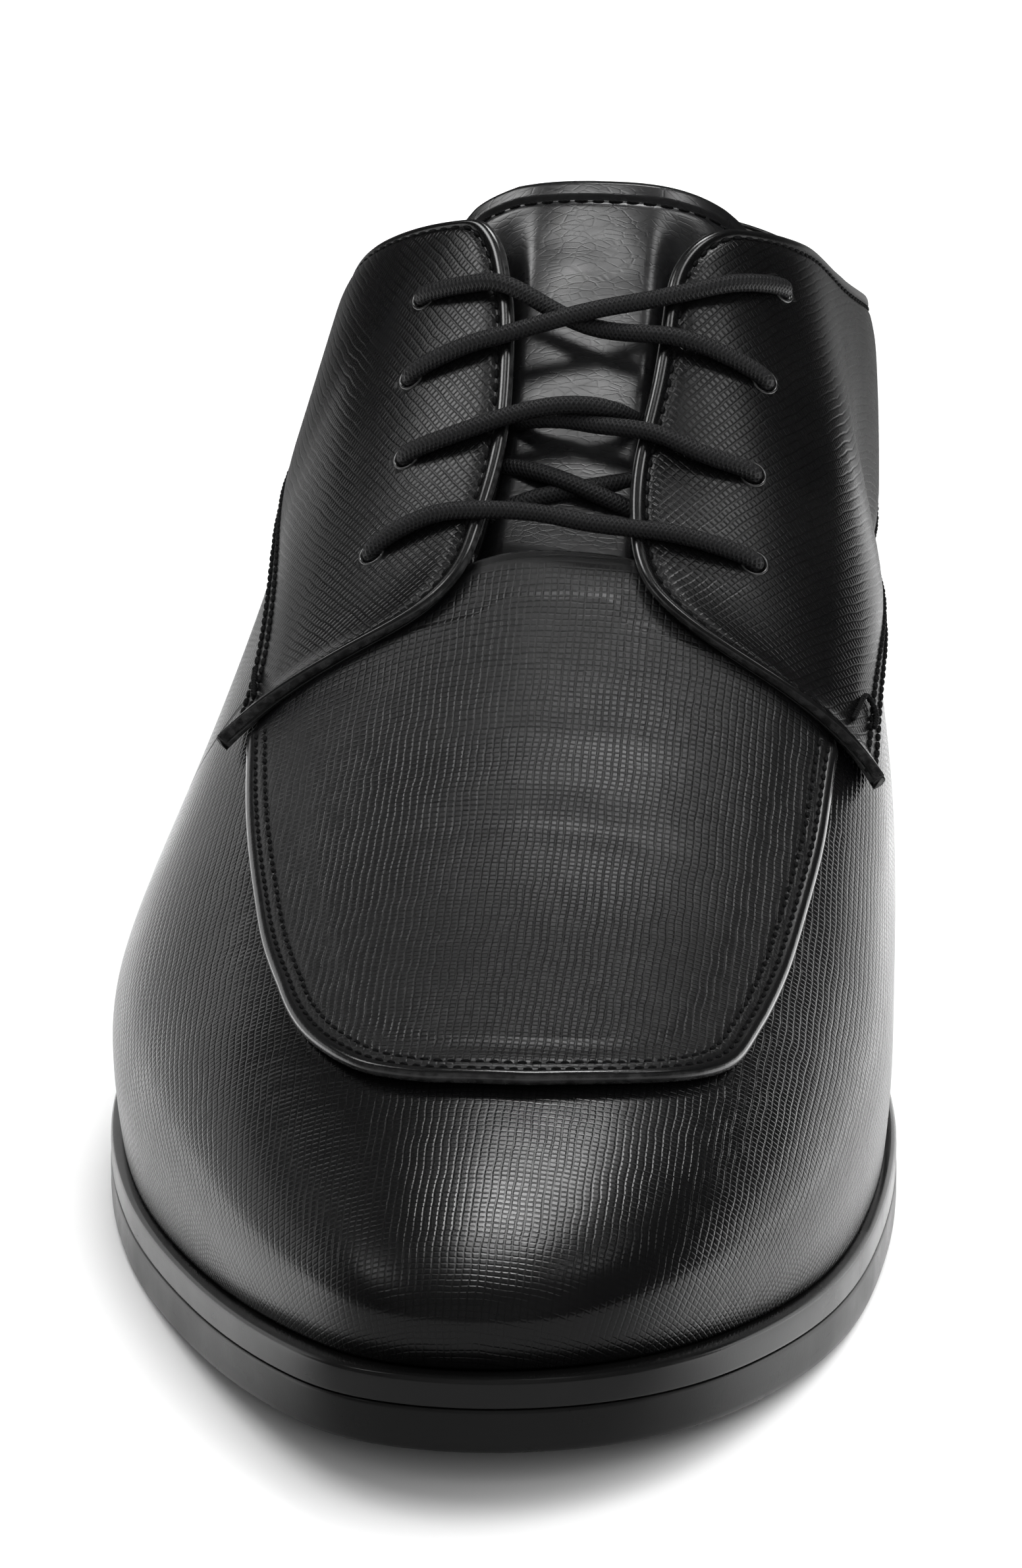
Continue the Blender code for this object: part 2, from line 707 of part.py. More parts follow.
def main():
    for obj in list(bpy.data.objects):
        bpy.data.objects.remove(obj)
    shoe, cutters = collection("apron_toe_derby"), collection("cutters")
    looks = {
        "upper": ((0.02, 0.02, 0.021), 0.45),
        "apron": ((0.022, 0.022, 0.023), 0.42),
        "quarter": ((0.022, 0.022, 0.023), 0.42),
        "tongue": ((0.018, 0.018, 0.018), 0.3),
        "lace": ((0.015, 0.015, 0.015), 0.6),
        "midsole": ((0.018, 0.018, 0.018), 0.45),
        "outsole": ((0.016, 0.016, 0.016), 0.5),
        "heel": ((0.016, 0.016, 0.016), 0.5),
        "insole": ((0.05, 0.045, 0.04), 0.7),
    }
    finishes = {name: material(name, *look) for name, look in looks.items()}
    make_sole(finishes, shoe)
    upper = make_upper(finishes["upper"], shoe)
    make_apron(finishes["apron"], shoe)
    quarters = {
        OUTER: make_quarter("quarter_outer", OUTER, finishes["quarter"], shoe),
        INNER: make_quarter("quarter_inner", INNER, finishes["quarter"], shoe),
    }
    make_tongue(finishes["tongue"], shoe)
    punch_eyelets(upper, quarters, cutters)
    make_laces(finishes["lace"], shoe, cutters)
    for obj in shoe.objects:
        if any(step.type == "BOOLEAN" for step in obj.modifiers):
            weld = obj.modifiers.new("weld", "WELD")
            weld.merge_threshold = 0.00003


main()
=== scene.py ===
"""Apron-toe derby, right shoe: the leather, lining, stitching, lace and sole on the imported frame.

Tables are in mm, as in the part's source: toe toward -Y, inner side toward +X, floor at z = 0.
"""

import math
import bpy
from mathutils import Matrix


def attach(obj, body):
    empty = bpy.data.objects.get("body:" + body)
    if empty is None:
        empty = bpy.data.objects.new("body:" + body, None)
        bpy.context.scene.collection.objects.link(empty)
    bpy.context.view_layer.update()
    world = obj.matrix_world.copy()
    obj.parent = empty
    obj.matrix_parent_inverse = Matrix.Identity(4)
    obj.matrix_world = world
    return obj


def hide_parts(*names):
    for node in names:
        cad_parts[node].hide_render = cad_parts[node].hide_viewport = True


bl_info = {
    "name": "Apron-toe derby",
    "version": (1, 0, 0),
    "blender": (4, 5, 0),
    "location": "View3D > Sidebar > Derby",
    "description": "Dresses an apron-toe derby in leather, stitching, lace and rubber",
    "category": "Object",
}

import bmesh
import bpy
import numpy as np
from bpy.props import FloatProperty, FloatVectorProperty, PointerProperty
from mathutils import Vector

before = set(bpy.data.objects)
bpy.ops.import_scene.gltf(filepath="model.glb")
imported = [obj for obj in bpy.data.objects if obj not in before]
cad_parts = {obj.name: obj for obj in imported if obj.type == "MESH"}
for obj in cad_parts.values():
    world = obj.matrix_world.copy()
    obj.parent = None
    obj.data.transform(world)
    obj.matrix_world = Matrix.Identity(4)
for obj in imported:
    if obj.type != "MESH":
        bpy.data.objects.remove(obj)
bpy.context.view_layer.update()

MM = 0.001
OUTER, INNER = -1, 1

# x of the part's origin in these tables
CENTRE_X = 0.45

# rise of the sole at toe and heel, thickness of its layers and of the upper, and the play between pieces
TOE_SPRING = 9.6
HEEL_HEIGHT = 21.0
MIDSOLE = 3.8
OUTSOLE = 5.8
INSOLE = 3.0
WALL = 1.9
GAP = 0.3

# y where the sections of toe and heel begin to fan out, of the throat and of the heel's breast, and the ends
# of the flat under the ball
TOE_FAN_Y = -86.0
HEEL_FAN_Y = 116.0
THROAT_Y = -13.2
BREAST_Y = 72.0
BALL_FLAT = (-82.0, -38.0)

# share of a section's parameter that runs up the side wall, below the turn over the top
GIRTH = 0.2

# y, share of the toe spring, share of the heel height
SOLE_ROWS = (
    (-153, 1.0, 0.0),
    (-140, 0.72, 0.0),
    (-120, 0.365, 0.0),
    (-100, 0.115, 0.0),
    (-82, 0.0, 0.0),
    (-60, 0.0, 0.0),
    (-38, 0.0, 0.0),
    (-15, 0.0, 0.07),
    (10, 0.0, 0.25),
    (35, 0.0, 0.495),
    (60, 0.0, 0.73),
    (85, 0.0, 0.88),
    (110, 0.0, 0.943),
    (153, 0.0, 1.0),
)

# x, y of the line where upper meets sole, bulge beyond it, height of the bulge, fullness of the section
LAST_ROWS = (
    (5.8, -148.0, 0.8, 6, 2.4),
    (-4.8, -145.0, 0.8, 6, 2.4),
    (-14.4, -135.3, 0.8, 6, 2.4),
    (-24.2, -120.8, 0.9, 7, 2.4),
    (-34.4, -101.8, 1.0, 9, 2.3),
    (-43.3, -81.0, 1.0, 10, 2.15),
    (-49.3, -58.3, 1.0, 12, 1.97),
    (-51.1, -36.0, 1.1, 13, 1.85),
    (-48.6, -10.0, 1.3, 14, 1.82),
    (-42.8, 20.0, 1.8, 16, 1.86),
    (-36.1, 55.0, 2.2, 19, 1.95),
    (-31.2, 88.0, 2.0, 20, 2.05),
    (-28.4, 112.0, 1.8, 19, 2.1),
    (-21.4, 132.5, 1.4, 18, 2.1),
    (-8.6, 144.6, 1.2, 18, 2.1),
    (4.2, 147.6, 1.2, 18, 2.1),
    (17.0, 144.6, 1.2, 18, 2.1),
    (29.6, 132.5, 1.4, 18, 2.1),
    (36.2, 112.0, 1.8, 19, 2.1),
    (37.2, 88.0, 3.0, 21, 2.1),
    (36.1, 55.0, 3.6, 24, 2.1),
    (39.4, 20.0, 6.0, 27, 2.42),
    (46.0, -12.0, 4.5, 24, 2.5),
    (51.3, -42.0, 1.0, 16, 2.4),
    (52.0, -62.0, 0.8, 12, 2.3),
    (50.3, -82.0, 0.8, 10, 2.3),
    (45.8, -102.5, 0.9, 9, 2.3),
    (38.0, -121.0, 0.9, 8, 2.4),
    (27.4, -136.8, 0.8, 7, 2.4),
    (16.8, -145.2, 0.8, 6, 2.4),
)

# y, x and z of the ridge along the top
RIDGE_ROWS = (
    (-86, 5.9, 45.4),
    (-70, 5.4, 49.1),
    (-50, 4.8, 56.1),
    (-30, 4.4, 65.6),
    (-12, 4.4, 77.0),
    (6, 4.5, 91.4),
    (30, 5.0, 114.0),
    (55, 5.0, 136.0),
    (85, 4.6, 153.0),
    (116, 4.2, 158.0),
)

# y, how far the sole stands out past the upper
MARGIN_ROWS = (
    (-152, 3.6),
    (-140, 3.3),
    (-120, 2.4),
    (-100, 1.8),
    (-70, 1.5),
    (-30, 1.4),
    (10, 1.0),
    (60, 1.0),
    (110, 2.0),
    (152, 4.0),
)

# y, z of the collar's edge on the outer and the inner side
TOPLINE_ROWS = (
    (20, 114.6, 114.0),
    (29, 111.4, 110.6),
    (35, 108.8, 109.0),
    (44, 104.0, 105.8),
    (52, 98.8, 102.6),
    (65, 90.6, 96.0),
    (80, 83.4, 89.4),
    (95, 78.8, 84.0),
    (110, 76.6, 79.6),
    (125, 77.2, 77.8),
    (140, 79.8, 79.8),
    (153, 83.0, 83.0),
)

# y, z of the lower seam of the outer and of the inner quarter
SEAM_ROWS = (
    (-31, 48.6, 49.4),
    (-25, 50.4, 50.6),
    (-18, 53.8, 53.4),
    (-9, 58.0, 57.0),
    (0, 61.6, 59.2),
    (13, 65.6, 60.6),
    (30, 68.0, 60.0),
    (45, 68.0, 56.0),
    (60, 66.8, 51.0),
    (75, 65.0, 47.4),
    (90, 62.6, 46.4),
    (105, 60.6, 48.4),
    (118, 59.6, 52.4),
    (135, 59.0, 57.4),
    (153, 59.0, 59.0),
)

# y, distance of the quarter's edge from the ridge, from the wing tip to the top of the facing
OUTER_EDGE_ROWS = (
    (-24.4, 42.4),
    (-23.6, 37.0),
    (-22.9, 30.6),
    (-21.8, 23.6),
    (-20.0, 17.5),
    (-17.1, 13.5),
    (-13.5, 11.2),
    (-9.5, 10.2),
    (0.5, 8.4),
    (9.5, 8.2),
    (18.5, 9.1),
    (23.0, 10.2),
    (26.6, 11.4),
    (29.6, 13.2),
)
INNER_EDGE_ROWS = (
    (-28.0, 42.2),
    (-27.5, 36.6),
    (-26.6, 30.6),
    (-25.0, 24.5),
    (-22.5, 18.7),
    (-19.1, 13.8),
    (-15.9, 11.3),
    (-12.1, 9.9),
    (-7.0, 9.1),
    (-0.5, 9.0),
    (9.5, 10.4),
    (18.5, 10.9),
    (23.0, 11.4),
    (26.6, 13.2),
    (29.3, 15.4),
)

EDGE_ROWS = {OUTER: OUTER_EDGE_ROWS, INNER: INNER_EDGE_ROWS}

# y, reach of the apron from the ridge to the outer and the inner side
APRON_ROWS = (
    (-111.6, 4.5, 3.0),
    (-111.1, 8.4, 6.9),
    (-110.0, 11.9, 11.8),
    (-108.4, 15.4, 16.8),
    (-106.2, 18.3, 21.3),
    (-103.0, 21.3, 25.4),
    (-98.0, 24.8, 28.9),
    (-91.4, 27.9, 30.8),
    (-83.4, 30.5, 32.5),
    (-74.5, 32.9, 34.1),
    (-65.5, 34.7, 35.3),
    (-56.5, 36.3, 36.4),
    (-47.5, 37.7, 37.4),
    (-39.5, 38.7, 37.9),
    (-32.5, 39.4, 38.2),
)

# y of each eyelet and its distance from the ridge
OUTER_EYELETS = ((-6.9, 24.9), (4.8, 21.6), (15.7, 22.2), (25.6, 21.7))
INNER_EYELETS = ((-9.9, 25.6), (1.9, 24.3), (14.8, 24.4), (29.6, 24.8))

# y, half width of the tongue
TONGUE_ROWS = (
    (-22, 19.0),
    (-10, 21.5),
    (2, 22.8),
    (14, 24.6),
    (20, 25.6),
    (25, 26.0),
    (29, 25.8),
    (31.5, 24.8),
    (33.2, 22.8),
    (34.2, 20.0),
    (34.8, 15.6),
)
# lean of its rows, shift to the inner side, y where its sides turn round and where its rows draw closer,
# and the distance of its stitches from the rim
TONGUE_LEAN = 0.5
TONGUE_SHIFT = 3.4
TONGUE_ROUND_Y = 20.0
TONGUE_FINE_Y = 22.0
TONGUE_ROW = 3.6

# distance in from the free edge, height over the vamp: lining edge, gap, folded lip, stitch groove, field
QUARTER_LIP = (
    (2.6, 0.22),
    (1.3, 0.22),
    (0.85, 0.26),
    (0.68, 0.42),
    (0.66, 0.66),
    (0.8, 0.84),
    (1.5, 0.9),
    (1.5, 1.02),
    (0.5, 1.06),
    (0.14, 1.22),
    (0.0, 1.6),
    (0.05, 2.02),
    (0.26, 2.4),
    (0.7, 2.66),
    (1.2, 2.7),
    (1.65, 2.58),
    (1.95, 2.3),
    (2.2, 2.1),
    (2.45, 2.16),
    (2.75, 2.36),
    (3.3, 2.5),
    (4.4, 2.52),
)
# the same from the lower seam, the other way round
QUARTER_FOOT = (
    (6.4, 2.45),
    (4.6, 2.3),
    (3.3, 2.02),
    (2.3, 1.86),
    (1.3, 1.7),
    (0.7, 1.45),
    (0.3, 1.1),
    (0.06, 0.7),
    (0.0, 0.4),
    (0.1, 0.15),
)
QUARTER_FIELD = 2.5

# how far the wing tip and the rest of the edge stand off, and how much of the collar is skived away, with the
# shares of the edge over which each sets in
WING_STAND, WING_SPAN = 1.1, (0.14, 0.26)
EDGE_STAND = 0.12
COLLAR_SKIVE, COLLAR_SPAN = 0.4, (0.4, 0.48)

# the same for the apron: cut edge, two stitch grooves, a shallow trough, field
APRON_LIP = (
    (2.6, 0.08),
    (1.0, 0.10),
    (0.4, 0.18),
    (0.1, 0.5),
    (0.0, 0.95),
    (0.1, 1.4),
    (0.36, 1.74),
    (0.8, 1.92),
    (1.25, 1.9),
    (1.6, 1.72),
    (1.85, 1.55),
    (2.1, 1.62),
    (2.55, 1.78),
    (3.0, 1.74),
    (3.3, 1.56),
    (3.6, 1.6),
    (4.1, 1.72),
    (5.2, 1.62),
    (6.6, 1.55),
    (8.4, 1.62),
)
APRON_FIELD = 1.75

# y of the ends of the line on the ridge that the apron narrows to, and how far its toe stands off
APRON_SPINE = (-90.0, -26.0)
APRON_CURL, APRON_CURL_SPAN = 0.55, (-109.0, -92.0)

# half the width of the back strip, its height on the quarters and its drop below their seam
STRIP_HALF, STRIP_LIFT, STRIP_DROP = 9.0, 3.3, 2.3

# y of a crease across the apron, its reach to each side, depth and half width
APRON_CREASES = (
    (-57.0, 24.0, 0.28, 3.2),
    (-49.0, 27.0, -0.26, 3.6),
    (-41.0, 22.0, 0.2, 2.8),
)

# y of a crease across the tongue, where its middle lies, its reach, depth and half width
TONGUE_CREASES = (
    (-2.0, 3.0, 9.0, 0.14, 1.8),
    (9.0, -1.0, 8.0, 0.12, 1.7),
    (24.0, 5.0, 12.0, 0.1, 2.2),
    (27.5, -3.0, 9.0, 0.1, 1.8),
)

# the same for the lining, rolled over the collar's edge
LINING_LIP = (
    (1.6, -2.15),
    (0.95, -2.1),
    (0.9, 0.05),
    (0.4, 0.05),
    (0.1, -0.12),
    (0.0, -0.5),
    (0.04, -0.95),
    (0.18, -1.45),
    (0.5, -1.95),
    (1.1, -2.4),
    (2.2, -2.75),
    (5.0, -3.3),
    (10.0, -3.6),
    (16.0, -3.4),
    (24.0, -3.0),
)
LINING_FIELD = -2.9

# growth past the upper, height: over the top of the midsole, over the bottom of the outsole
MIDSOLE_SIDE = (
    (-1.6, 0.0),
    (-0.75, -0.02),
    (-0.35, -0.12),
    (-0.1, -0.36),
    (0.0, -0.8),
    (0.04, -1.6),
    (0.03, -3.5),
    (0.0, -3.82),
    (-0.1, -3.94),
    (-0.5, -3.96),
)
OUTSOLE_SIDE = (
    (-0.5, 5.8),
    (-0.06, 5.78),
    (0.05, 5.66),
    (0.1, 5.2),
    (0.12, 2.4),
    (0.06, 1.1),
    (-0.1, 0.5),
    (-0.42, 0.14),
    (-0.9, 0.0),
)

# growth past the upper, share of the heel's height, height over the floor, set-back of the breast
HEEL_SIDE = (
    (-1.3, 1.0, 0.0, 0.3),
    (-0.85, 1.0, -0.25, 0.0),
    (-0.8, 1.0, -0.8, 0.0),
    (-1.1, 0.6, 0.0, 1.2),
    (-1.5, 0.0, 6.3, 2.4),
    (-1.85, 0.0, 6.1, 2.7),
    (-1.85, 0.0, 5.8, 2.7),
    (-1.5, 0.0, 5.6, 2.5),
    (-1.55, 0.0, 1.2, 2.8),
    (-1.75, 0.0, 0.5, 3.0),
    (-2.2, 0.0, 0.1, 3.4),
    (-2.8, 0.0, 0.0, 3.9),
)

# growth past the inside of the upper, height over the insole's underside
INSOLE_SIDE = ((-6.0, INSOLE + 0.2), (-2.0, INSOLE), (-0.5, 2.4), (0.0, 1.8), (0.0, 0.6), (-0.4, 0.1))
INSOLE_PLAY = 1.2

# tread: from groove to groove, y where its two fields begin and end, and the plain border round them
TREAD_PITCH = 7.0
TREAD_SPANS = ((-132, 12), (84, 140))
TREAD_BORDER = (6.0, 7.5)

# tacks behind the wing tips, as distance from the ridge and y
TACKS = (
    ((39.0, -23.0), (39.6, -19.6), (40.3, -17.2), (41.2, -17.8), (41.4, -20.4)),
    ((-39.4, -14.0), (-39.2, -17.0), (-39.0, -19.4)),
)

# heights of the lace over the vamp: on the facings, down through an eyelet and under the facings
LACE_REST = 4.0
LACE_THROUGH = (2.7, 0.8, -1.4)
LACE_HIDDEN = -3.4

# distance in from the edge and height of each row of stitches
APRON_STITCHES = ((1.85, 1.62), (3.3, 1.63))
QUARTER_STITCHES = (2.2, 2.2)
SEAM_STITCHES = ((1.3, 1.78), (3.3, 2.12))

# cutter of an eyelet: sides, start under and end over the vamp
PUNCH_SIDES = 28
PUNCH_SPAN = (-4.2, 6.0)

# side, piece and node of each quarter
QUARTERS = ((OUTER, "outer_quarter", "quarter_outer"), (INNER, "inner_quarter", "quarter_inner"))

# distance from the middle over which the toe's stretched grain deepens toward the flanks
FLANK_SPAN = (22.0 * MM, 42.0 * MM)

# of each leather: turn of the grain, its depth and the width of the rubbed edge in mm, roughness, mirror,
# and how much deeper the grain is on the flanks
LEATHERS = {
    "derby_vamp": (0.0, 0.027, 0.5, 0.24, 0.5, 2.8),
    "derby_apron": (0.0, 0.075, 0.55, 0.4, 0.52, 1.0),
    "derby_outer_quarter": (-0.6, 0.043, 0.4, 0.27, 0.32, 1.0),
    "derby_inner_quarter": (0.6, 0.043, 0.4, 0.26, 0.28, 1.0),
    "derby_strip": (0.8, 0.06, 0.5, 0.33, 0.3, 1.0),
    "derby_rim": (0.0, 0.03, 0.5, 0.36, 0.5, 1.0),
}

DUST = (0.32, 0.31, 0.3, 1.0)
BLACK, WHITE = (0.0, 0.0, 0.0, 1.0), (1.0, 1.0, 1.0, 1.0)

# light of the tent all round, and its panels: bearing from the heel's end toward the inner side and rise,
# in degrees; angles where each is full and where it ends; brightness
TENT_LOW = 0.035
TENT_PANELS = ((180.0, 30.0, 20.0, 60.0, 0.08),)

# name, place, target, size, power and spread in degrees of each soft box or card, and whether the leather
# mirrors it
LIGHTS = (
    ("toe_box", (0.045, 0.49, 1.16), (0.0, -0.12, 0.04), (0.32, 0.28), 3.55, 180.0, True),
    ("tongue_box", (-0.057, -0.079, 0.436), (0.0, 0.028, 0.112), (0.2, 0.12), 0.0142, 24.0, True),
    ("left_box", (-0.298, 0.035, 0.435), (-0.01, 0.01, 0.09), (0.17, 0.19), 0.0265, 30.0, True),
    ("right_box", (0.21, 0.003, 0.498), (0.02, 0.01, 0.09), (0.12, 0.13), 0.012, 34.0, True),
    ("left_card", (-0.12, -0.008, 0.048), (-0.035, -0.077, 0.04), (0.18, 0.095), 0.039, 180.0, True),
    ("right_card", (0.135, 0.022, 0.038), (0.048, -0.064, 0.036), (0.2, 0.075), 0.073, 180.0, True),
    ("top_fill", (0.35, -0.1, 1.2), (0.0, -0.02, 0.0), (2.2, 2.2), 36.0, 180.0, False),
    ("front_fill", (0.25, -1.3, 0.75), (0.0, -0.14, 0.0), (1.1, 0.5), 8.0, 180.0, False),
)

# place and target in metres, focal length and image height in pixels of the photograph, sensor in mm
CAMERA_PLACE = (0.08807, -0.87425, 0.35914)
CAMERA_TARGET = (-0.00033, -0.03316, 0.05132)
CAMERA_FOCUS = 10215.0
PHOTO_HEIGHT = 2380
SENSOR = 36.0

# half the width of the floor in metres
FLOOR_HALF = 3.0

# kinds of node sockets
VALUE, VECTOR = "NodeSocketFloat", "NodeSocketVector"


class DerbySizes(bpy.types.PropertyGroup):
    """Sizes of the pieces that follow the last."""

    lace_radius: FloatProperty(
        name="Lace radius",
        description="Half the thickness of the round lace",
        default=1.25 * MM,
        unit="LENGTH",
    )
    eyelet_radius: FloatProperty(
        name="Eyelet radius",
        description="Half the width of a punched eyelet",
        default=1.75 * MM,
        unit="LENGTH",
    )
    tongue: FloatProperty(
        name="Tongue thickness",
        description="Thickness of the tongue",
        default=2.2 * MM,
        unit="LENGTH",
    )
    stitch_pitch: FloatProperty(
        name="Stitch pitch",
        description="Distance from stitch to stitch",
        default=1.65 * MM,
        unit="LENGTH",
    )
    thread_radius: FloatProperty(
        name="Thread radius",
        description="Half the thickness of the thread",
        default=0.26 * MM,
        unit="LENGTH",
    )
    tread_depth: FloatProperty(
        name="Tread depth",
        description="Depth of the grooves under the sole",
        default=1.0 * MM,
        unit="LENGTH",
    )
    grain_cell: FloatProperty(
        name="Grain cell",
        description="Distance between the pressed lines of the grain",
        default=0.92 * MM,
        unit="LENGTH",
    )


class DerbyColours(bpy.types.PropertyGroup):
    """Colours of the materials."""

    leather: FloatVectorProperty(
        name="Grained leather",
        description="Vamp, apron and quarters",
        default=(0.0022, 0.0022, 0.0023),
        subtype="COLOR",
    )
    smooth: FloatVectorProperty(
        name="Smooth leather",
        description="Tongue",
        default=(0.0045, 0.0045, 0.0048),
        subtype="COLOR",
    )
    lining: FloatVectorProperty(
        name="Lining",
        description="Lining of the collar",
        default=(0.03, 0.029, 0.028),
        subtype="COLOR",
    )
    insole: FloatVectorProperty(
        name="Insole",
        description="Sock over the insole",
        default=(0.04, 0.038, 0.036),
        subtype="COLOR",
    )
    lace: FloatVectorProperty(
        name="Lace",
        description="Waxed round lace",
        default=(0.0045, 0.0045, 0.0047),
        subtype="COLOR",
    )
    thread: FloatVectorProperty(
        name="Thread",
        description="Thread of every seam",
        default=(0.0025, 0.0025, 0.0026),
        subtype="COLOR",
    )
    rubber: FloatVectorProperty(
        name="Rubber",
        description="Midsole, outsole and heel",
        default=(0.004, 0.004, 0.004),
        subtype="COLOR",
    )
    floor: FloatVectorProperty(
        name="Floor",
        description="Paper that the shoe stands on",
        default=(0.92, 0.92, 0.92),
        subtype="COLOR",
    )


def spline(rows, closed=False):
    """Natural cubic through the rows, whose first column is the parameter, or a closed one."""
    table = np.array(rows, float)
    xs, ys = table[:, 0], table[:, 1:]
    step = np.diff(xs)
    count = len(xs) - 1 if closed else len(xs)
    matrix, right = np.zeros((count, count)), np.zeros((count, ys.shape[1]))
    for i in range(count):
        if not closed and i in (0, count - 1):
            matrix[i, i] = 1
            continue
        before, after = step[i - 1], step[i]
        matrix[i, i - 1] += before
        matrix[i, i] += 2 * (before + after)
        matrix[i, (i + 1) % count] += after
        rise = (ys[i + 1] - ys[i]) / after
        right[i] = 6 * (rise - (ys[i] - ys[(i - 1) % count]) / before)
    bend = np.linalg.solve(matrix, right)
    if closed:
        bend = np.vstack([bend, bend[:1]])

    def value(x):
        """Row at this parameter."""
        x = np.asarray(x, float)
        x = xs[0] + np.mod(x - xs[0], xs[-1] - xs[0]) if closed else x
        i = np.clip(np.searchsorted(xs, x, side="right") - 1, 0, len(xs) - 2)
        h = step[i][..., None]
        left, past = xs[i + 1][..., None] - x[..., None], x[..., None] - xs[i][..., None]
        cubic = (bend[i] * left**3 + bend[i + 1] * past**3) / (6 * h)
        found = cubic + (ys[i] / h - bend[i] * h / 6) * left
        found = found + (ys[i + 1] / h - bend[i + 1] * h / 6) * past
        return found[..., 0] if found.shape[-1] == 1 else found

    return value


def run_along(points, power=1.0):
    """Length from the first point to each, every step raised to a power."""
    steps = np.linalg.norm(np.diff(points, axis=0), axis=1) ** power
    return np.concatenate([[0], np.cumsum(steps)])


def through(points, count):
    """Even steps along a smooth curve through the points."""
    points = np.asarray(points, float)
    knots = run_along(points, 0.5)
    curve = spline(np.column_stack([knots, points]))
    places = np.linspace(0, knots[-1], 12 * len(points))
    run = run_along(curve(places))
    return curve(np.interp(np.linspace(0, run[-1], count), run, places))


sole_rise = spline(SOLE_ROWS)
ridge = spline(RIDGE_ROWS)
margin = spline(MARGIN_ROWS)
topline, seam = (
    {OUTER: spline([row[:2] for row in rows]), INNER: spline([row[::2] for row in rows])}
    for rows in (TOPLINE_ROWS, SEAM_ROWS)
)
tongue_half = spline(TONGUE_ROWS)

last = np.array(LAST_ROWS + LAST_ROWS[:1], float)
along = run_along(last[:, :2])
feather_line = spline(np.column_stack([along, last]), closed=True)
dense = np.linspace(0, along[-1], 3001)[:-1]
dense_y = feather_line(dense)[:, 1]
HEEL_S = dense[np.argmax(dense_y)]
TOE_S = dense[np.argmin(np.where(dense < HEEL_S, dense_y, 999))]
ROUND = along[-1]


def ease(low, high, value):
    """Smooth step from 0 at low to 1 at high."""
    share = np.clip((value - low) / (high - low), 0, 1)
    return share * share * (3 - 2 * share)


def bell(value, middle, half):
    """Rounded hump, 1 at the middle."""
    return np.exp(-(((value - middle) / half) ** 2))


def rounded(rim, radius):
    """Quarter circle from 0 at the rim to 1 at a radius from it."""
    return np.sqrt(np.clip(1 - (1 - np.clip(rim / radius, 0, 1)) ** 2, 0, 1))


def ridge_slope(y):
    """Rise of the ridge along y."""
    return (ridge(y + 0.5)[..., 1] - ridge(y)[..., 1]) / 0.5


def sole_bottom(y):
    """Height of the outsole's underside, flat under the ball."""
    shares = sole_rise(y)
    rise = TOE_SPRING * shares[..., 0] + HEEL_HEIGHT * shares[..., 1]
    flat = (np.asarray(y) > BALL_FLAT[0]) & (np.asarray(y) < BALL_FLAT[1])
    return np.where(flat, 0.0, np.maximum(rise, 0.0))


def sole_top(y):
    """Height of the midsole's top, where the upper stands."""
    return sole_bottom(y) + OUTSOLE + MIDSOLE + GAP


def station(y, side):
    """Place along the feather line at this y, on the outer or the inner side."""
    low, high = (TOE_S, HEEL_S) if side == OUTER else (HEEL_S, TOE_S + ROUND)
    s = np.linspace(low, high, 1500)
    ys = feather_line(s)[:, 1]
    found = np.interp(y, ys, s) if side == OUTER else np.interp(-np.asarray(y, float), -ys, s)
    for _ in range(4):
        here, ahead = feather_line(found)[..., 1], feather_line(found + 0.01)[..., 1]
        found = found - (here - y) * 0.01 / (ahead - here)
    return found


def section(s):
    """What one section of the last needs: its centre, direction, reach, heights and fullness."""
    row = feather_line(s)
    foot = row[..., :2]
    centre_y = np.clip(foot[..., 1], TOE_FAN_Y, HEEL_FAN_Y)
    top = ridge(centre_y)
    centre = np.stack([top[..., 0], centre_y], -1)
    reach = np.linalg.norm(foot - centre, axis=-1)
    out = (foot - centre) / reach[..., None]
    base = sole_top(foot[..., 1]) + GAP
    wide, girth = reach + row[..., 2], base + row[..., 3]
    return centre, out, reach, wide, base, girth, top[..., 1], row[..., 4], foot[..., 1]


def wall(s, t):
    """Point of the last: s runs round the feather line, t from the sole at 0 to the ridge at 1."""
    s, t = np.broadcast_arrays(np.asarray(s, float), np.asarray(t, float))
    centre, out, reach, wide, base, girth, top, full, foot_y = section(s)
    fall = np.where(foot_y < TOE_FAN_Y, -out[..., 1] * ridge_slope(TOE_FAN_Y), 0.0) * wide
    low = np.clip(t / GIRTH, 0, 1)
    turn = np.clip((t - GIRTH) / (1 - GIRTH), 0, 1) * math.pi / 2
    across, up = np.cos(turn) ** (2 / full), np.sin(turn) ** (2 / full)
    distance = np.where(t <= GIRTH, reach + (wide - reach) * np.sin(low * math.pi / 2), wide * across)
    height = girth + fall * (1 - across) + (top - girth - fall) * up
    height = np.where(t <= GIRTH, base + (girth - base) * low, height)
    return np.concatenate([centre + out * distance[..., None], height[..., None]], -1)


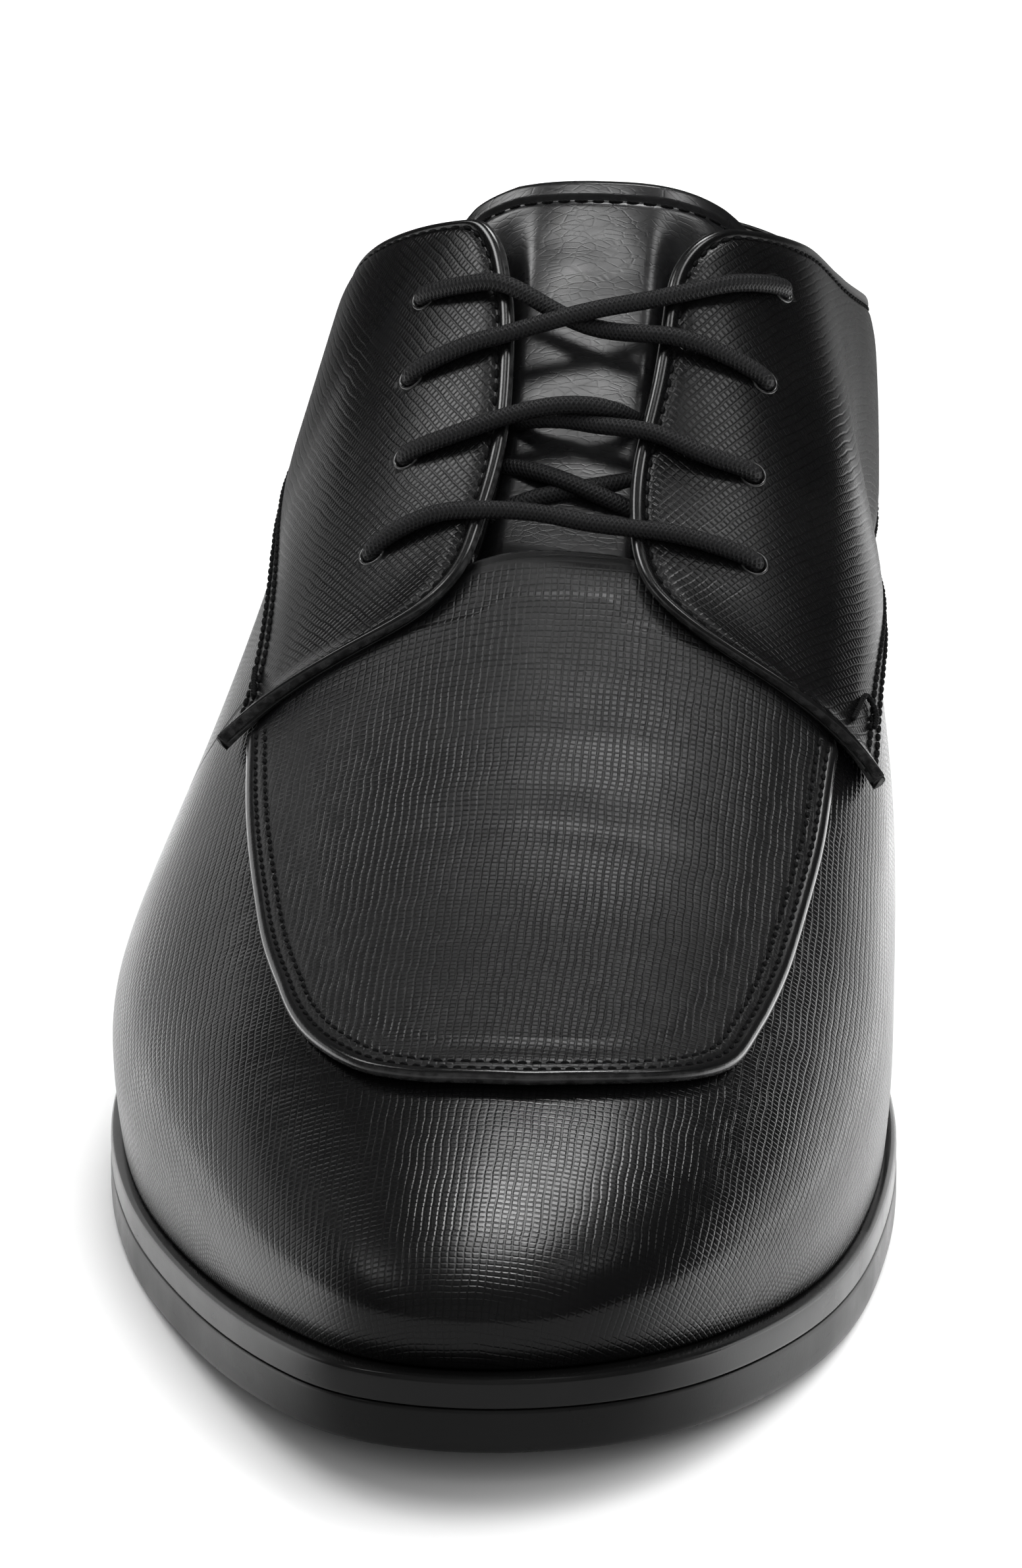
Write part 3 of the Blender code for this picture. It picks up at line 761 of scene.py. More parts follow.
def normals(s, t):
    """Unit normals of the last."""
    s, t = np.broadcast_arrays(np.asarray(s, float), np.asarray(t, float))
    inner_t = np.clip(t, 0.006, 0.98)
    around = wall(s + 0.4, inner_t) - wall(s - 0.4, inner_t)
    upward = wall(s, inner_t + 0.005) - wall(s, inner_t - 0.005)
    normal = np.cross(around, upward)
    outward = section(s)[1]
    flip = (normal[..., :2] * outward).sum(-1) + normal[..., 2] < 0
    normal = np.where(flip[..., None], -normal, normal)
    y = np.clip(wall(s, t)[..., 1], TOE_FAN_Y, HEEL_FAN_Y)
    crest = np.stack([np.zeros_like(y), -ridge_slope(y), np.ones_like(y)], -1)
    near = ease(0.97, 1.0, t)[..., None]
    normal = normal / np.linalg.norm(normal, axis=-1, keepdims=True)
    normal = normal * (1 - near) + near * crest / np.linalg.norm(crest, axis=-1, keepdims=True)
    return normal / np.linalg.norm(normal, axis=-1, keepdims=True)


def skin(s, t, lift):
    """Point this far outside the last, along its normal."""
    return wall(s, t) + np.asarray(lift)[..., None] * normals(s, t)


def t_at_distance(s, distance):
    """t of the section at s where it is this far from the ridge in plan."""
    _, _, _, wide, _, _, _, full, _ = section(s)
    turn = np.arccos(np.clip(distance / wide, 0, 1) ** (full / 2))
    return GIRTH + (1 - GIRTH) * turn / (math.pi / 2)


def t_at_line(s, line):
    """t where the section at s crosses a line given as z by y."""
    low, high = np.full(np.shape(s), 0.02), np.full(np.shape(s), 0.999)
    for _ in range(40):
        middle = (low + high) / 2
        point = wall(s, middle)
        above = point[..., 2] > line(point[..., 1])
        low, high = np.where(above, low, middle), np.where(above, middle, high)
    return (low + high) / 2


FAN_S = np.linspace(station(TOE_FAN_Y, INNER) - ROUND, station(TOE_FAN_Y, OUTER), 600)
FAN_OUT = section(FAN_S)[1]
FAN_ANGLE = -np.arctan2(FAN_OUT[:, 0], -FAN_OUT[:, 1])


def plan_st(distance, y):
    """s and t of the points at this distance from the ridge, negative to the outer side, and this y."""
    distance, y = np.broadcast_arrays(np.asarray(distance, float), np.asarray(y, float))
    side_y = np.maximum(y, TOE_FAN_Y)
    s = np.where(distance < 0, station(side_y, OUTER), station(side_y, INNER))
    ahead = y - TOE_FAN_Y
    fan = np.interp(-np.arctan2(distance, -ahead), FAN_ANGLE, FAN_S)
    s = np.where(ahead < 0, fan, s)
    return s, t_at_distance(s, np.where(ahead < 0, np.hypot(distance, ahead), np.abs(distance)))


def on_upper(distance, y, lift):
    """Points above the upper, this far from the ridge: negative to the outer side."""
    s, t = plan_st(distance, y)
    return skin(s, t, np.broadcast_to(lift, np.shape(s)))


ARC_T = np.linspace(0, 1, 200)
HEEL_JOINS = {OUTER: float(station(HEEL_FAN_Y, OUTER)), INNER: float(station(HEEL_FAN_Y, INNER))}


def flat_pattern(s, t):
    """Place of each point in the leather before lasting, in mm: the section rolled out from the ridge.

    Round the heel the leather goes straight on, as if the side did, so that its grain keeps its size.
    """
    shape = np.shape(s)
    s, t = np.ravel(s), np.ravel(t)
    keys, back = np.unique(np.round(4 * s) / 4, return_inverse=True)
    lines = wall(keys[:, None], ARC_T[None])
    runs = np.cumsum(np.linalg.norm(np.diff(lines, axis=1), axis=2)[:, ::-1], axis=1)[:, ::-1]
    runs = np.column_stack([runs, np.zeros(len(keys))])
    place = np.clip(t, 0, 1) * (len(ARC_T) - 1)
    low = np.minimum(place.astype(int), len(ARC_T) - 2)
    share = place - low
    back = back.reshape(-1)
    run = runs[back, low] * (1 - share) + runs[back, low + 1] * share
    centre, out, *_ = section(s)
    rolled = centre + out * run[:, None]
    for side, join in HEEL_JOINS.items():
        past = side * (join - np.mod(s, ROUND))
        round_heel = (past > 0) & (side * (np.mod(s, ROUND) - HEEL_S) >= 0)
        straight = np.column_stack([centre[:, 0] + side * run, HEEL_FAN_Y + past])
        rolled = np.where(round_heel[:, None], straight, rolled)
    return np.column_stack([rolled, np.zeros(len(s))]).reshape(*shape, 3)


def edge_distance(points, line):
    """Distance of each point from a line of points."""
    best = np.full(len(points), 1e9)
    for start, stop in zip(line[:-1], line[1:]):
        run = stop - start
        share = np.clip((points - start) @ run / max(run @ run, 1e-9), 0, 1)
        best = np.minimum(best, np.linalg.norm(points - start - share[:, None] * run, axis=1))
    return best


def grid_quads(rows, columns, wrap_rows=False, wrap_columns=False):
    """Corners of the faces of a grid of points, row by row."""
    index = np.arange(rows * columns).reshape(rows, columns)
    if wrap_rows:
        index = np.vstack([index, index[:1]])
    if wrap_columns:
        index = np.column_stack([index, index[:, :1]])
    return np.stack([index[:-1, :-1], index[:-1, 1:], index[1:, 1:], index[1:, :-1]], -1).reshape(-1, 4)


def mesh_of(name, points, faces, closed=True, **fields):
    """Smooth mesh from points in mm, with its fields kept as point attributes."""
    mesh = bpy.data.meshes.new(name)
    points = (np.asarray(points, float).reshape(-1, 3) - (CENTRE_X, 0, 0)) * MM
    mesh.from_pydata(points.tolist(), [], [list(map(int, face)) for face in faces])
    for key, values in fields.items():
        values = np.asarray(values, float)
        if values.shape[-1] == 3 and values.ndim > 1:
            mesh.attributes.new(key, "FLOAT_VECTOR", "POINT").data.foreach_set("vector", values.ravel())
        else:
            mesh.attributes.new(key, "FLOAT", "POINT").data.foreach_set("value", values.ravel())
    work = bmesh.new()
    work.from_mesh(mesh)
    bmesh.ops.remove_doubles(work, verts=work.verts, dist=2e-6)
    bmesh.ops.dissolve_degenerate(work, dist=1e-7, edges=work.edges)
    if closed:
        bmesh.ops.recalc_face_normals(work, faces=work.faces)
    work.to_mesh(mesh)
    work.free()
    mesh.shade_smooth()
    return mesh


def linked(name, data):
    """New object in the scene."""
    obj = bpy.data.objects.new(name, data)
    bpy.context.scene.collection.objects.link(obj)
    return obj


def piece(name, mesh, material, slot, *nodes):
    """Object at the origin that rides on the shoe and stands for the named solids.

    Without a material it keeps the one that its tree set.
    """
    obj = linked(name, mesh)
    if material:
        mesh.materials.clear()
        mesh.materials.append(material)
    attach(obj, "root")
    if nodes:
        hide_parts(*nodes)


def baked(obj):
    """Plain mesh of the object as its modifiers leave it; the object itself is removed."""
    graph = bpy.context.evaluated_depsgraph_get()
    graph.update()
    mesh = bpy.data.meshes.new_from_object(obj.evaluated_get(graph), depsgraph=graph)
    mesh.name = obj.name
    bpy.data.objects.remove(obj)
    return mesh


class Panelwork:
    """Leather laid on the last from a free edge inward, with a profile along that edge."""

    def __init__(self, edge, inner, lip, field, foot, middle_rows, extra=None, thin=None, plan=False):
        self.edge, self.inner, self.plan = np.asarray(edge), np.asarray(inner), plan
        self.extra = np.zeros(len(edge)) if extra is None else extra
        self.thin = np.zeros(len(edge)) if thin is None else thin
        self.share = np.linspace(0, 1, 48) ** 1.6
        line = wall(*self.place(self.share[None] + np.zeros((len(edge), 1))))
        steps = np.linalg.norm(np.diff(line, axis=1), axis=2)
        self.run = np.column_stack([np.zeros(len(edge)), np.cumsum(steps, axis=1)])
        self.length = self.run[:, -1]
        self.lip, self.foot = np.array(lip, float), np.array(foot, float).reshape(-1, 2)
        width = self.lip[:, 0].max() + (self.foot[:, 0].max() if len(self.foot) else 0)
        self.shrink = np.minimum(1, 0.8 * self.length / width)
        self.field, self.middle_rows = field, middle_rows

    def place(self, share):
        """s and t at this share of the way from the edge inward."""
        share = np.asarray(share)[..., None]
        at = self.edge[:, None] * (1 - share) + self.inner[:, None] * share
        return plan_st(at[..., 0], at[..., 1]) if self.plan else (at[..., 0], at[..., 1])

    def share_at(self, distances):
        """Share of the way in for distances in mm, one row of them for each place along the edge."""
        return np.array([np.interp(d, run, self.share) for d, run in zip(distances, self.run)])

    def lifted(self, lift, distance):
        """Height here, with the edge skived thin and standing off where it does."""
        stand = self.extra[:, None] * bell(distance, 0.0, 6.5)
        return lift * (1 - self.thin[:, None] * bell(distance, 0.0, 5.0)) + stand

    def line(self, distance, lift, first=0, last=None):
        """Points and normals of a line parallel to the edge."""
        d = np.full((len(self.edge), 1), distance) * self.shrink[:, None]
        s, t = self.place(self.share_at(d))
        points = skin(s, t, self.lifted(lift, d))
        return points[first:last, 0], normals(s, t)[first:last, 0]

    def grid(self):
        """Points of the closed skin, their distance from the edge, and s and t."""
        lip = self.lip[None, :, 0] * self.shrink[:, None]
        foot = self.length[:, None] - self.foot[None, :, 0] * self.shrink[:, None]
        low, high = lip[:, -1:], foot[:, :1] if len(self.foot) else self.length[:, None]
        steps = np.linspace(0, 1, self.middle_rows + 2)
        middle = low + (high - low) * (steps[None, 1:-1] if len(self.foot) else steps[None, 1:])
        under = self.length[:, None] * np.linspace(1, 0, 12)[None, :-1]
        under = np.maximum(under, lip[:, :1] + 0.1 * self.shrink[:, None])
        distance = np.concatenate([lip, middle, foot, under], axis=1)
        lifts = np.concatenate([
            self.lip[:, 1],
            np.full(middle.shape[1], self.field),
            self.foot[:, 1],
            np.full(under.shape[1], self.lip[0, 1]),
        ])
        s, t = self.place(self.share_at(distance))
        return s, t, self.lifted(lifts[None], distance), distance


def capped(rows, columns):
    """Faces of a tube-like grid whose rows are closed rings, with both ends filled."""
    faces = [list(face) for face in grid_quads(rows, columns, wrap_columns=True)]
    return faces + [list(range(columns))[::-1], list(range((rows - 1) * columns, rows * columns))]


def softened(path, window):
    """Path in s and t, at even steps in mm, with its corners eased over a window of steps."""
    run = run_along(wall(path[:, 0], path[:, 1]))
    even = np.linspace(0, run[-1], 420)
    path = np.column_stack([np.interp(even, run, column) for column in path.T])
    kernel = np.hanning(window + 2)[1:-1]
    kernel /= kernel.sum()
    padded = np.vstack([
        2 * path[:1] - path[window // 2 : 0 : -1],
        path,
        2 * path[-1:] - path[-2 : -window // 2 - 2 : -1],
    ])
    return np.column_stack([np.convolve(column, kernel, "valid")[: len(path)] for column in padded.T])


def quarter_paths(side):
    """Free edge of a quarter from the wing tip to the back seam, and its lower seam, as s and t."""
    rows = EDGE_ROWS[side]
    front = through(rows, 160)
    s = station(front[:, 0], side)
    t = t_at_distance(s, front[:, 1])
    collar = t_at_line(s, topline[side])
    keep = t < collar
    back = np.concatenate([
        station(np.linspace(front[keep][-1, 0] + 1.5, HEEL_FAN_Y, 140), side),
        np.linspace(station(HEEL_FAN_Y, side), HEEL_S + side * 0.25, 70)[1:],
    ])
    edge = np.vstack([
        np.column_stack([s[keep], t[keep]]),
        np.column_stack([back, t_at_line(back, topline[side])]),
    ])
    edge = softened(edge, 9)
    low_s = np.concatenate([
        station(np.linspace(rows[0][0], HEEL_FAN_Y, 300), side),
        np.linspace(station(HEEL_FAN_Y, side), HEEL_S + side * 0.25, 100)[1:],
    ])
    low = np.column_stack([low_s, t_at_line(low_s, seam[side])])
    share = np.interp(np.linspace(0, 1, len(edge)), (0, 0.2, 0.4, 1), (0, 0.1, 0.3, 1))
    low = np.column_stack([np.interp(share, np.linspace(0, 1, len(low)), column) for column in low.T])
    return edge, low


def make_quarter(side):
    """Quarter of one side: its wing tip stands off the vamp, its collar is skived thin."""
    edge, low = quarter_paths(side)
    run = np.linspace(0, 1, len(edge))
    extra = WING_STAND * (1 - ease(*WING_SPAN, run)) + EDGE_STAND
    thin = COLLAR_SKIVE * ease(*COLLAR_SPAN, run)
    return Panelwork(edge, low, QUARTER_LIP, QUARTER_FIELD, QUARTER_FOOT, 26, extra, thin)


def apron_outline():
    """Closed outline of the apron as distance from the ridge and y; its rear lies under the quarters."""
    outer = [(-reach, y) for y, reach, _ in APRON_ROWS[::-1]]
    inner = [(reach, y) for y, _, reach in APRON_ROWS]
    front = through([(-40.0, -26.0)] + outer + inner + [(38.4, -29.0)], 330)
    inner_rear = [(reach, y + 3.0) for y, reach in INNER_EDGE_ROWS[1:5]]
    outer_rear = [(-reach, y + 3.0) for y, reach in OUTER_EDGE_ROWS[4:0:-1]]
    throat = [(15.0, -14.6), (9.0, -12.6), (0.0, -12.2), (-9.0, -12.4), (-14.0, -14.0)]
    rear = through([front[-1]] + inner_rear + throat + outer_rear + [front[0]], 110)
    return np.vstack([front, rear[1:-1]]), len(front)


def make_apron():
    """Apron, its toe standing off a little, and the number of points along its free edge."""
    edge, front = apron_outline()
    spine = 2 * np.round(np.clip(edge[:, 1], *APRON_SPINE) / 2)
    middle = np.column_stack([np.zeros(len(edge)), spine])
    curl = APRON_CURL * (1 - ease(*APRON_CURL_SPAN, edge[:, 1]))
    curl[front:] = 0.0
    return Panelwork(edge, middle, APRON_LIP, APRON_FIELD, (), 30, curl, plan=True), front


def tongue_grid():
    """Distance from the ridge and y of a grid over the tongue, closer spaced toward its top and sides."""
    low, top = TONGUE_ROWS[0][0], TONGUE_ROWS[-1][0]
    rise = top - (top - TONGUE_FINE_Y) * np.linspace(1, 0, 51) ** 2
    ys = np.concatenate([np.linspace(low, TONGUE_FINE_Y, 100)[:-1], rise])
    half = np.interp(ys, *np.array(TONGUE_ROWS).T)
    half = np.where(ys > TONGUE_ROUND_Y, tongue_half(ys), half)
    quarter_turn = 0.86 * math.pi / 2
    across = np.sin(np.linspace(-1, 1, 90) * quarter_turn) / math.sin(quarter_turn)
    distance = TONGUE_SHIFT + half[:, None] * across[None]
    y = np.broadcast_to(ys[:, None], distance.shape)
    drop = ridge(y)[..., 1] - on_upper(distance, y, 0.0)[..., 2]
    return distance, y + TONGUE_LEAN * drop


def rim_line(grid):
    """Points round the border of a grid."""
    return np.vstack([grid[:, 0], grid[-1, 1:], grid[-2::-1, -1], grid[0, -2::-1]])


def outline(grow, start, count):
    """Stations from toe to heel with the outer and inner x of the feather line moved out by grow(y)."""
    s = np.linspace(TOE_S, TOE_S + ROUND, 3001)[:-1]
    line = feather_line(s)[:, :2]
    ahead = np.roll(line, -1, 0) - np.roll(line, 1, 0)
    normal = np.column_stack([ahead[:, 1], -ahead[:, 0]])
    normal *= -1 if normal[0, 1] > 0 else 1
    line = line + normal / np.linalg.norm(normal, axis=1)[:, None] * grow(line[:, 1])[:, None]
    line = np.roll(line, -line[:, 1].argmin(), 0)
    heel = line[:, 1].argmax()
    outer, inner = line[: heel + 1], np.vstack([line[heel:], line[:1]])[::-1]
    if start is None:
        start, share = line[0, 1], (1 - np.cos(np.linspace(0, math.pi, count))) / 2
    else:
        share = np.sin(np.linspace(0, math.pi / 2, count))
    y = start + (line[heel, 1] - start) * share
    return y, np.interp(y, outer[:, 1], outer[:, 0]), np.interp(y, inner[:, 1], inner[:, 0])


def sole_layer(name, levels, count, columns, relief=None):
    """Layer of the sole: sides from rows of growth, height by y and first y, top and bottom as fields."""
    points, faces, rings = [], [], []
    for grow, height, start in levels:
        y, outer, inner = outline(grow, start, count)
        rings.append(np.stack([np.column_stack([x, y, height(y)]) for x in (outer, inner)]))
    for side in (0, 1):
        grid = np.stack([ring[side] for ring in rings])
        faces.append(grid_quads(*grid.shape[:2]) + sum(map(len, points)))
        points.append(grid.reshape(-1, 3))
    share = np.linspace(0, 1, columns)[:, None]
    first = np.stack([ring[0][0] * (1 - share) + ring[1][0] * share for ring in rings])
    faces.append(grid_quads(*first.shape[:2]) + sum(map(len, points)))
    points.append(first.reshape(-1, 3))
    for number, ring in enumerate((rings[0], rings[-1])):
        grid = ring[0][:, None] * (1 - share) + ring[1][:, None] * share
        if number and relief:
            border = np.minimum(share, 1 - share).T * np.linalg.norm(ring[1] - ring[0], axis=1)[:, None]
            grid[..., 2] += relief(grid[..., 1], border)
        faces.append(grid_quads(*grid.shape[:2]) + sum(map(len, points)))
        points.append(grid.reshape(-1, 3))
    return mesh_of(name, np.vstack(points), np.vstack(faces))


def past_upper(grow):
    """Growth by y from the feather line: the sole's margin and this much more."""
    return lambda y: margin(y) + grow


def tread(depth):
    """Grooves of the sole: straight across forefoot and heel, none under the waist or the border."""

    def relief(y, border):
        groove = ease(0.45, 0.75, np.cos(y * 2 * math.pi / TREAD_PITCH))
        ends = sum(ease(low, low + 4, y) * (1 - ease(high - 4, high, y)) for low, high in TREAD_SPANS)
        return depth * groove * ends * ease(*TREAD_BORDER, border)

    return relief


def eyelet_sites():
    """Middle of each eyelet on the vamp, and the direction of its hole."""
    sites = []
    for side, rows in ((OUTER, OUTER_EYELETS), (INNER, INNER_EYELETS)):
        for y, distance in rows:
            s, t = plan_st(side * distance, y)
            sites.append((skin(s, t, np.array(0.0)), normals(s, t), side))
    return sites


def punches(name, radius, side=None):
    """Cutters for the eyelets of one side, or of both."""
    points, faces = [], []
    turn = np.linspace(0, 2 * math.pi, PUNCH_SIDES, endpoint=False)
    for middle, up, at in eyelet_sites():
        if side not in (None, at):
            continue
        cross = np.cross(up, (0, 0, 1.0))
        cross /= np.linalg.norm(cross)
        ring = radius * (np.outer(np.cos(turn), cross) + np.outer(np.sin(turn), np.cross(up, cross)))
        start = sum(map(len, points))
        points.append(np.vstack([middle + depth * up + ring for depth in PUNCH_SPAN]))
        faces += [[start + i for i in face] for face in capped(2, PUNCH_SIDES)]
    return linked(name, mesh_of(name, np.vstack(points), faces))


def punched(mesh, radius, side=None):
    """The mesh with its eyelets cut."""
    obj = linked(mesh.name, mesh)
    cutter = punches("punches", radius, side)
    boolean = obj.modifiers.new("eyelets", "BOOLEAN")
    boolean.operation, boolean.solver, boolean.object = "DIFFERENCE", "EXACT", cutter
    made = baked(obj)
    bpy.data.objects.remove(cutter)
    return made


def lace_route():
    """Points of the whole lace: from one hidden end over the bar to the other.

    Each row is distance from the ridge, y and height over the vamp.
    """
    (y1, d1), (y2, d2), (y3, d3), (y4, d4) = OUTER_EYELETS
    (v1, e1), (v2, e2), (v3, e3), (v4, e4) = INNER_EYELETS
    rest, deep = LACE_REST, LACE_HIDDEN

    def down(distance, y):
        return [(distance, y, lift) for lift in LACE_THROUGH]

    def up(distance, y):
        return down(distance, y)[::-1]

    inner_half = [(0.1, -9.2, 3.7), (4.6, -9.9, 3.7), (13.4, -10.2, rest), (19.0, -10.3, rest)]
    inner_half += down(e1, v1) + [(e1 - 5, v1 + 1.5, deep), (12.5, -5.2, deep + 0.2), (4.5, -3.4, -1.2)]
    inner_half += [(-4.5, -0.4, -1.3), (-11.5, 2.4, deep + 0.2), (5 - d2, y2 - 0.8, deep)] + up(-d2, y2)
    inner_half += [(-14.2, 3.9, rest), (-7.2, 4.5, rest), (0.01, 5.1, 4.1), (5.6, 5.5, 2.4), (8.0, 6.1, -0.5)]
    inner_half += [(11.0, 7.2, deep + 0.2), (e3 - 5, v3 - 2.5, deep)] + up(e3, v3)
    inner_half += [(17.6, 14.5, rest), (11.0, 14.5, rest), (0.8, 15.6, 1.9), (-9.1, 20.3, rest)]
    inner_half += [(-14.6, 22.5, rest)] + down(-d4, y4) + [(3 - d4, y4 + 1.5, -4.2)]
    outer_half = [(-4.5, -8.3, 3.7), (-11.8, -7.0, rest), (-18.3, -6.3, rest)]
    outer_half += down(-d1, y1) + [(5 - d1, y1 + 1.2, deep), (-12.0, -4.4, deep + 0.2), (-4.5, -3.2, -2.4)]
    outer_half += [(4.5, -1.6, -2.4), (11.5, 0.2, deep + 0.2), (e2 - 5, v2 - 0.6, deep)] + up(e2, v2)
    outer_half += [(18.0, 1.2, rest), (11.4, 2.5, rest), (3.8, 3.6, 2.3), (-0.6, 4.5, 1.4), (-5.0, 5.2, 0.6)]
    outer_half += [(-7.4, 6.0, -1.0), (-10.0, 7.6, deep + 0.2), (4 - d3, y3 - 2.5, deep)] + up(-d3, y3)
    outer_half += [(-14.8, 14.9, rest), (-9.4, 14.7, rest), (0.8, 16.0, 4.5), (8.3, 18.1, rest)]
    outer_half += [(15.0, 21.1, rest), (20.0, 24.6, rest)] + down(e4, v4) + [(e4 - 3, v4 + 1.5, -4.2)]
    rows = np.array(outer_half[::-1] + inner_half)
    return on_upper(rows[:, 0], rows[:, 1], rows[:, 2])


def tube(path, radius, sides):
    """Closed tube along a path, with the length along it and the angle round it."""
    ahead = np.gradient(path, axis=0)
    ahead /= np.linalg.norm(ahead, axis=1)[:, None]
    across = np.zeros_like(path)
    across[0] = np.cross(ahead[0], (0.3, 0.2, 0.9))
    for i in range(len(path)):
        across[i] = across[max(i - 1, 0)]
        across[i] -= ahead[i] * (across[i] @ ahead[i])
        across[i] /= np.linalg.norm(across[i])
    over = np.cross(ahead, across)
    turn = np.linspace(0, 2 * math.pi, sides, endpoint=False)
    radius = np.broadcast_to(radius, len(path))
    ring = across[:, None] * np.cos(turn)[None, :, None] + over[:, None] * np.sin(turn)[None, :, None]
    points = path[:, None] + radius[:, None, None] * ring
    lay = np.zeros((len(path), sides, 3))
    lay[..., 0] = run_along(path)[:, None]
    lay[..., 1], lay[..., 2] = np.cos(turn), np.sin(turn)
    return points.reshape(-1, 3), capped(len(path), sides), lay.reshape(-1, 3)


class Graph:
    """Short hand for the nodes of one tree."""

    def __init__(self, tree):
        self.tree = tree

    def add(self, kind, inputs=None, **settings):
        """New node with its settings, and its sockets linked or set."""
        made = self.tree.nodes.new(kind)
        for key, value in settings.items():
            setattr(made, key, value)
        for key, value in (inputs or {}).items():
            self.put(made.inputs[key], value)
        return made

    def put(self, socket, value):
        """Link a socket to another one, or set it."""
        if isinstance(value, bpy.types.NodeSocket):
            self.tree.links.new(value, socket)
        elif value is not None:
            socket.default_value = value

    def math(self, operation, *values):
        """Number worked out from numbers."""
        return self.add("ShaderNodeMath", dict(enumerate(values)), operation=operation).outputs[0]

    def vector(self, operation, *values, output="Vector"):
        """Vector worked out from vectors, or a number with output Value."""
        made = self.add("ShaderNodeVectorMath", dict(enumerate(values)), operation=operation)
        return made.outputs[output]

    def span(self, value, low, high, to_low=0.0, to_high=1.0):
        """Value eased from one span to another."""
        sockets = {"Value": value, "From Min": low, "From Max": high, "To Min": to_low, "To Max": to_high}
        return self.add("ShaderNodeMapRange", sockets, interpolation_type="SMOOTHSTEP").outputs[0]

    def noise(self, vector, scale, detail=2.0, rough=0.5):
        """Soft random number by place."""
        sockets = {"Vector": vector, "Scale": scale, "Detail": detail, "Roughness": rough}
        return self.add("ShaderNodeTexNoise", sockets).outputs[0]

    def blend(self, share, low, high):
        """Colour between two, by its share; a mix node's colour sockets are 6, 7 and 2."""
        sockets = {0: share, 6: low, 7: high}
        return self.add("ShaderNodeMix", sockets, data_type="RGBA").outputs[2]


def shader_group(name, inputs, outputs):
    """Empty shader group with named sockets, its graph, and its input and output nodes."""
    tree = bpy.data.node_groups.new(name, "ShaderNodeTree")
    for socket, kind, value in inputs:
        made = tree.interface.new_socket(socket, in_out="INPUT", socket_type=kind)
        if value is not None:
            made.default_value = value
    for socket, kind in outputs:
        tree.interface.new_socket(socket, in_out="OUTPUT", socket_type=kind)
    graph = Graph(tree)
    return tree, graph, graph.add("NodeGroupInput"), graph.add("NodeGroupOutput")


def pressed_grain():
    """Cross-hatched lines pressed into the leather: cell tops at 1, furrows at 0."""
    tree, graph, given, out = shader_group(
        "pressed_grain",
        (("Flat", VECTOR, None), ("Cell", VALUE, 0.92), ("Wander", VALUE, 0.2), ("Turn", VALUE, 0.0)),
        (("Height", VALUE), ("Patch", VALUE)),
    )
    sockets = {"Vector": given.outputs["Flat"], "Angle": given.outputs["Turn"]}
    flat = graph.add("ShaderNodeVectorRotate", sockets, rotation_type="Z_AXIS").outputs[0]
    drift = graph.add("ShaderNodeTexNoise", {"Vector": flat, "Scale": 0.16, "Detail": 2.0})
    drift = graph.vector("SUBTRACT", drift.outputs["Color"], (0.5, 0.5, 0.5))
    wander = graph.math("MULTIPLY", given.outputs["Wander"], 4.0)
    scaled = graph.add("ShaderNodeVectorMath", {0: drift, "Scale": wander}, operation="SCALE")
    split = graph.add("ShaderNodeSeparateXYZ", {0: graph.vector("ADD", flat, scaled.outputs[0])})
    lines = []
    for axis, stretch, cell_share in ((0, (1.1, 0.16, 1.0), 1.06), (1, (0.16, 1.1, 1.0), 0.94)):
        half = graph.math("MULTIPLY", given.outputs["Cell"], cell_share * 0.5)
        wave = graph.math("DIVIDE", graph.math("PINGPONG", split.outputs[axis], half), half)
        long_noise = graph.noise(graph.vector("MULTIPLY", flat, stretch), 1.0, 2.0)
        strength = graph.span(long_noise, 0.3, 0.6, 0.6, 1.0)
        furrow = graph.span(wave, 0.0, 0.5, 1.0, 0.0)
        lines.append(graph.math("MULTIPLY", furrow, strength))
    both = graph.math("MAXIMUM", *lines)
    pebble = graph.noise(flat, 2.6, 3.0, 0.6)
    height = graph.math("SUBTRACT", 1.0, both)
    height = graph.math("ADD", height, graph.math("MULTIPLY", pebble, 0.15))
    graph.put(out.inputs["Height"], height)
    graph.put(out.inputs["Patch"], graph.noise(flat, 0.045, 3.0))
    return tree


def leather_wear():
    """Mask along a cut or folded edge, broken by rubbing, from the distance to the edge in mm."""
    tree, graph, given, out = shader_group(
        "leather_wear",
        (("Edge", VALUE, 9.0), ("Place", VECTOR, None), ("Width", VALUE, 0.6)),
        (("Mask", VALUE),),
    )
    rim = graph.math("SUBTRACT", 1.0, graph.math("DIVIDE", given.outputs["Edge"], given.outputs["Width"]))
    rim = graph.span(rim, 0.0, 0.8)
    rubbed = graph.span(graph.noise(given.outputs["Place"], 900.0, 3.0), 0.35, 0.65, 0.25, 1.0)
    graph.put(out.inputs["Mask"], graph.math("MULTIPLY", rim, rubbed))
    return tree


def fine_dust():
    """Sparse pale specks and a thin film by place, on every material."""
    tree, graph, given, out = shader_group(
        "fine_dust", (("Place", VECTOR, None), ("Amount", VALUE, 0.5)), (("Mask", VALUE),)
    )
    cells = graph.add("ShaderNodeTexVoronoi", {"Vector": given.outputs["Place"], "Scale": 210.0})
    speck = graph.span(cells.outputs["Distance"], 0.0, 0.055, 1.0, 0.0)
    chosen = graph.add("ShaderNodeSeparateColor", {0: cells.outputs["Color"]})
    some = graph.math("GREATER_THAN", chosen.outputs[0], 0.8)
    film = graph.span(graph.noise(given.outputs["Place"], 34.0, 4.0), 0.5, 0.8, 0.0, 0.025)
    mask = graph.math("ADD", graph.math("MULTIPLY", graph.math("MULTIPLY", speck, some), 0.35), film)
    graph.put(out.inputs["Mask"], graph.math("MULTIPLY", mask, given.outputs["Amount"]))
    return tree


def group_node(graph, name, **inputs):
    """Shared effect placed in a material with its own values."""
    return graph.add("ShaderNodeGroup", inputs, node_tree=bpy.data.node_groups[name])


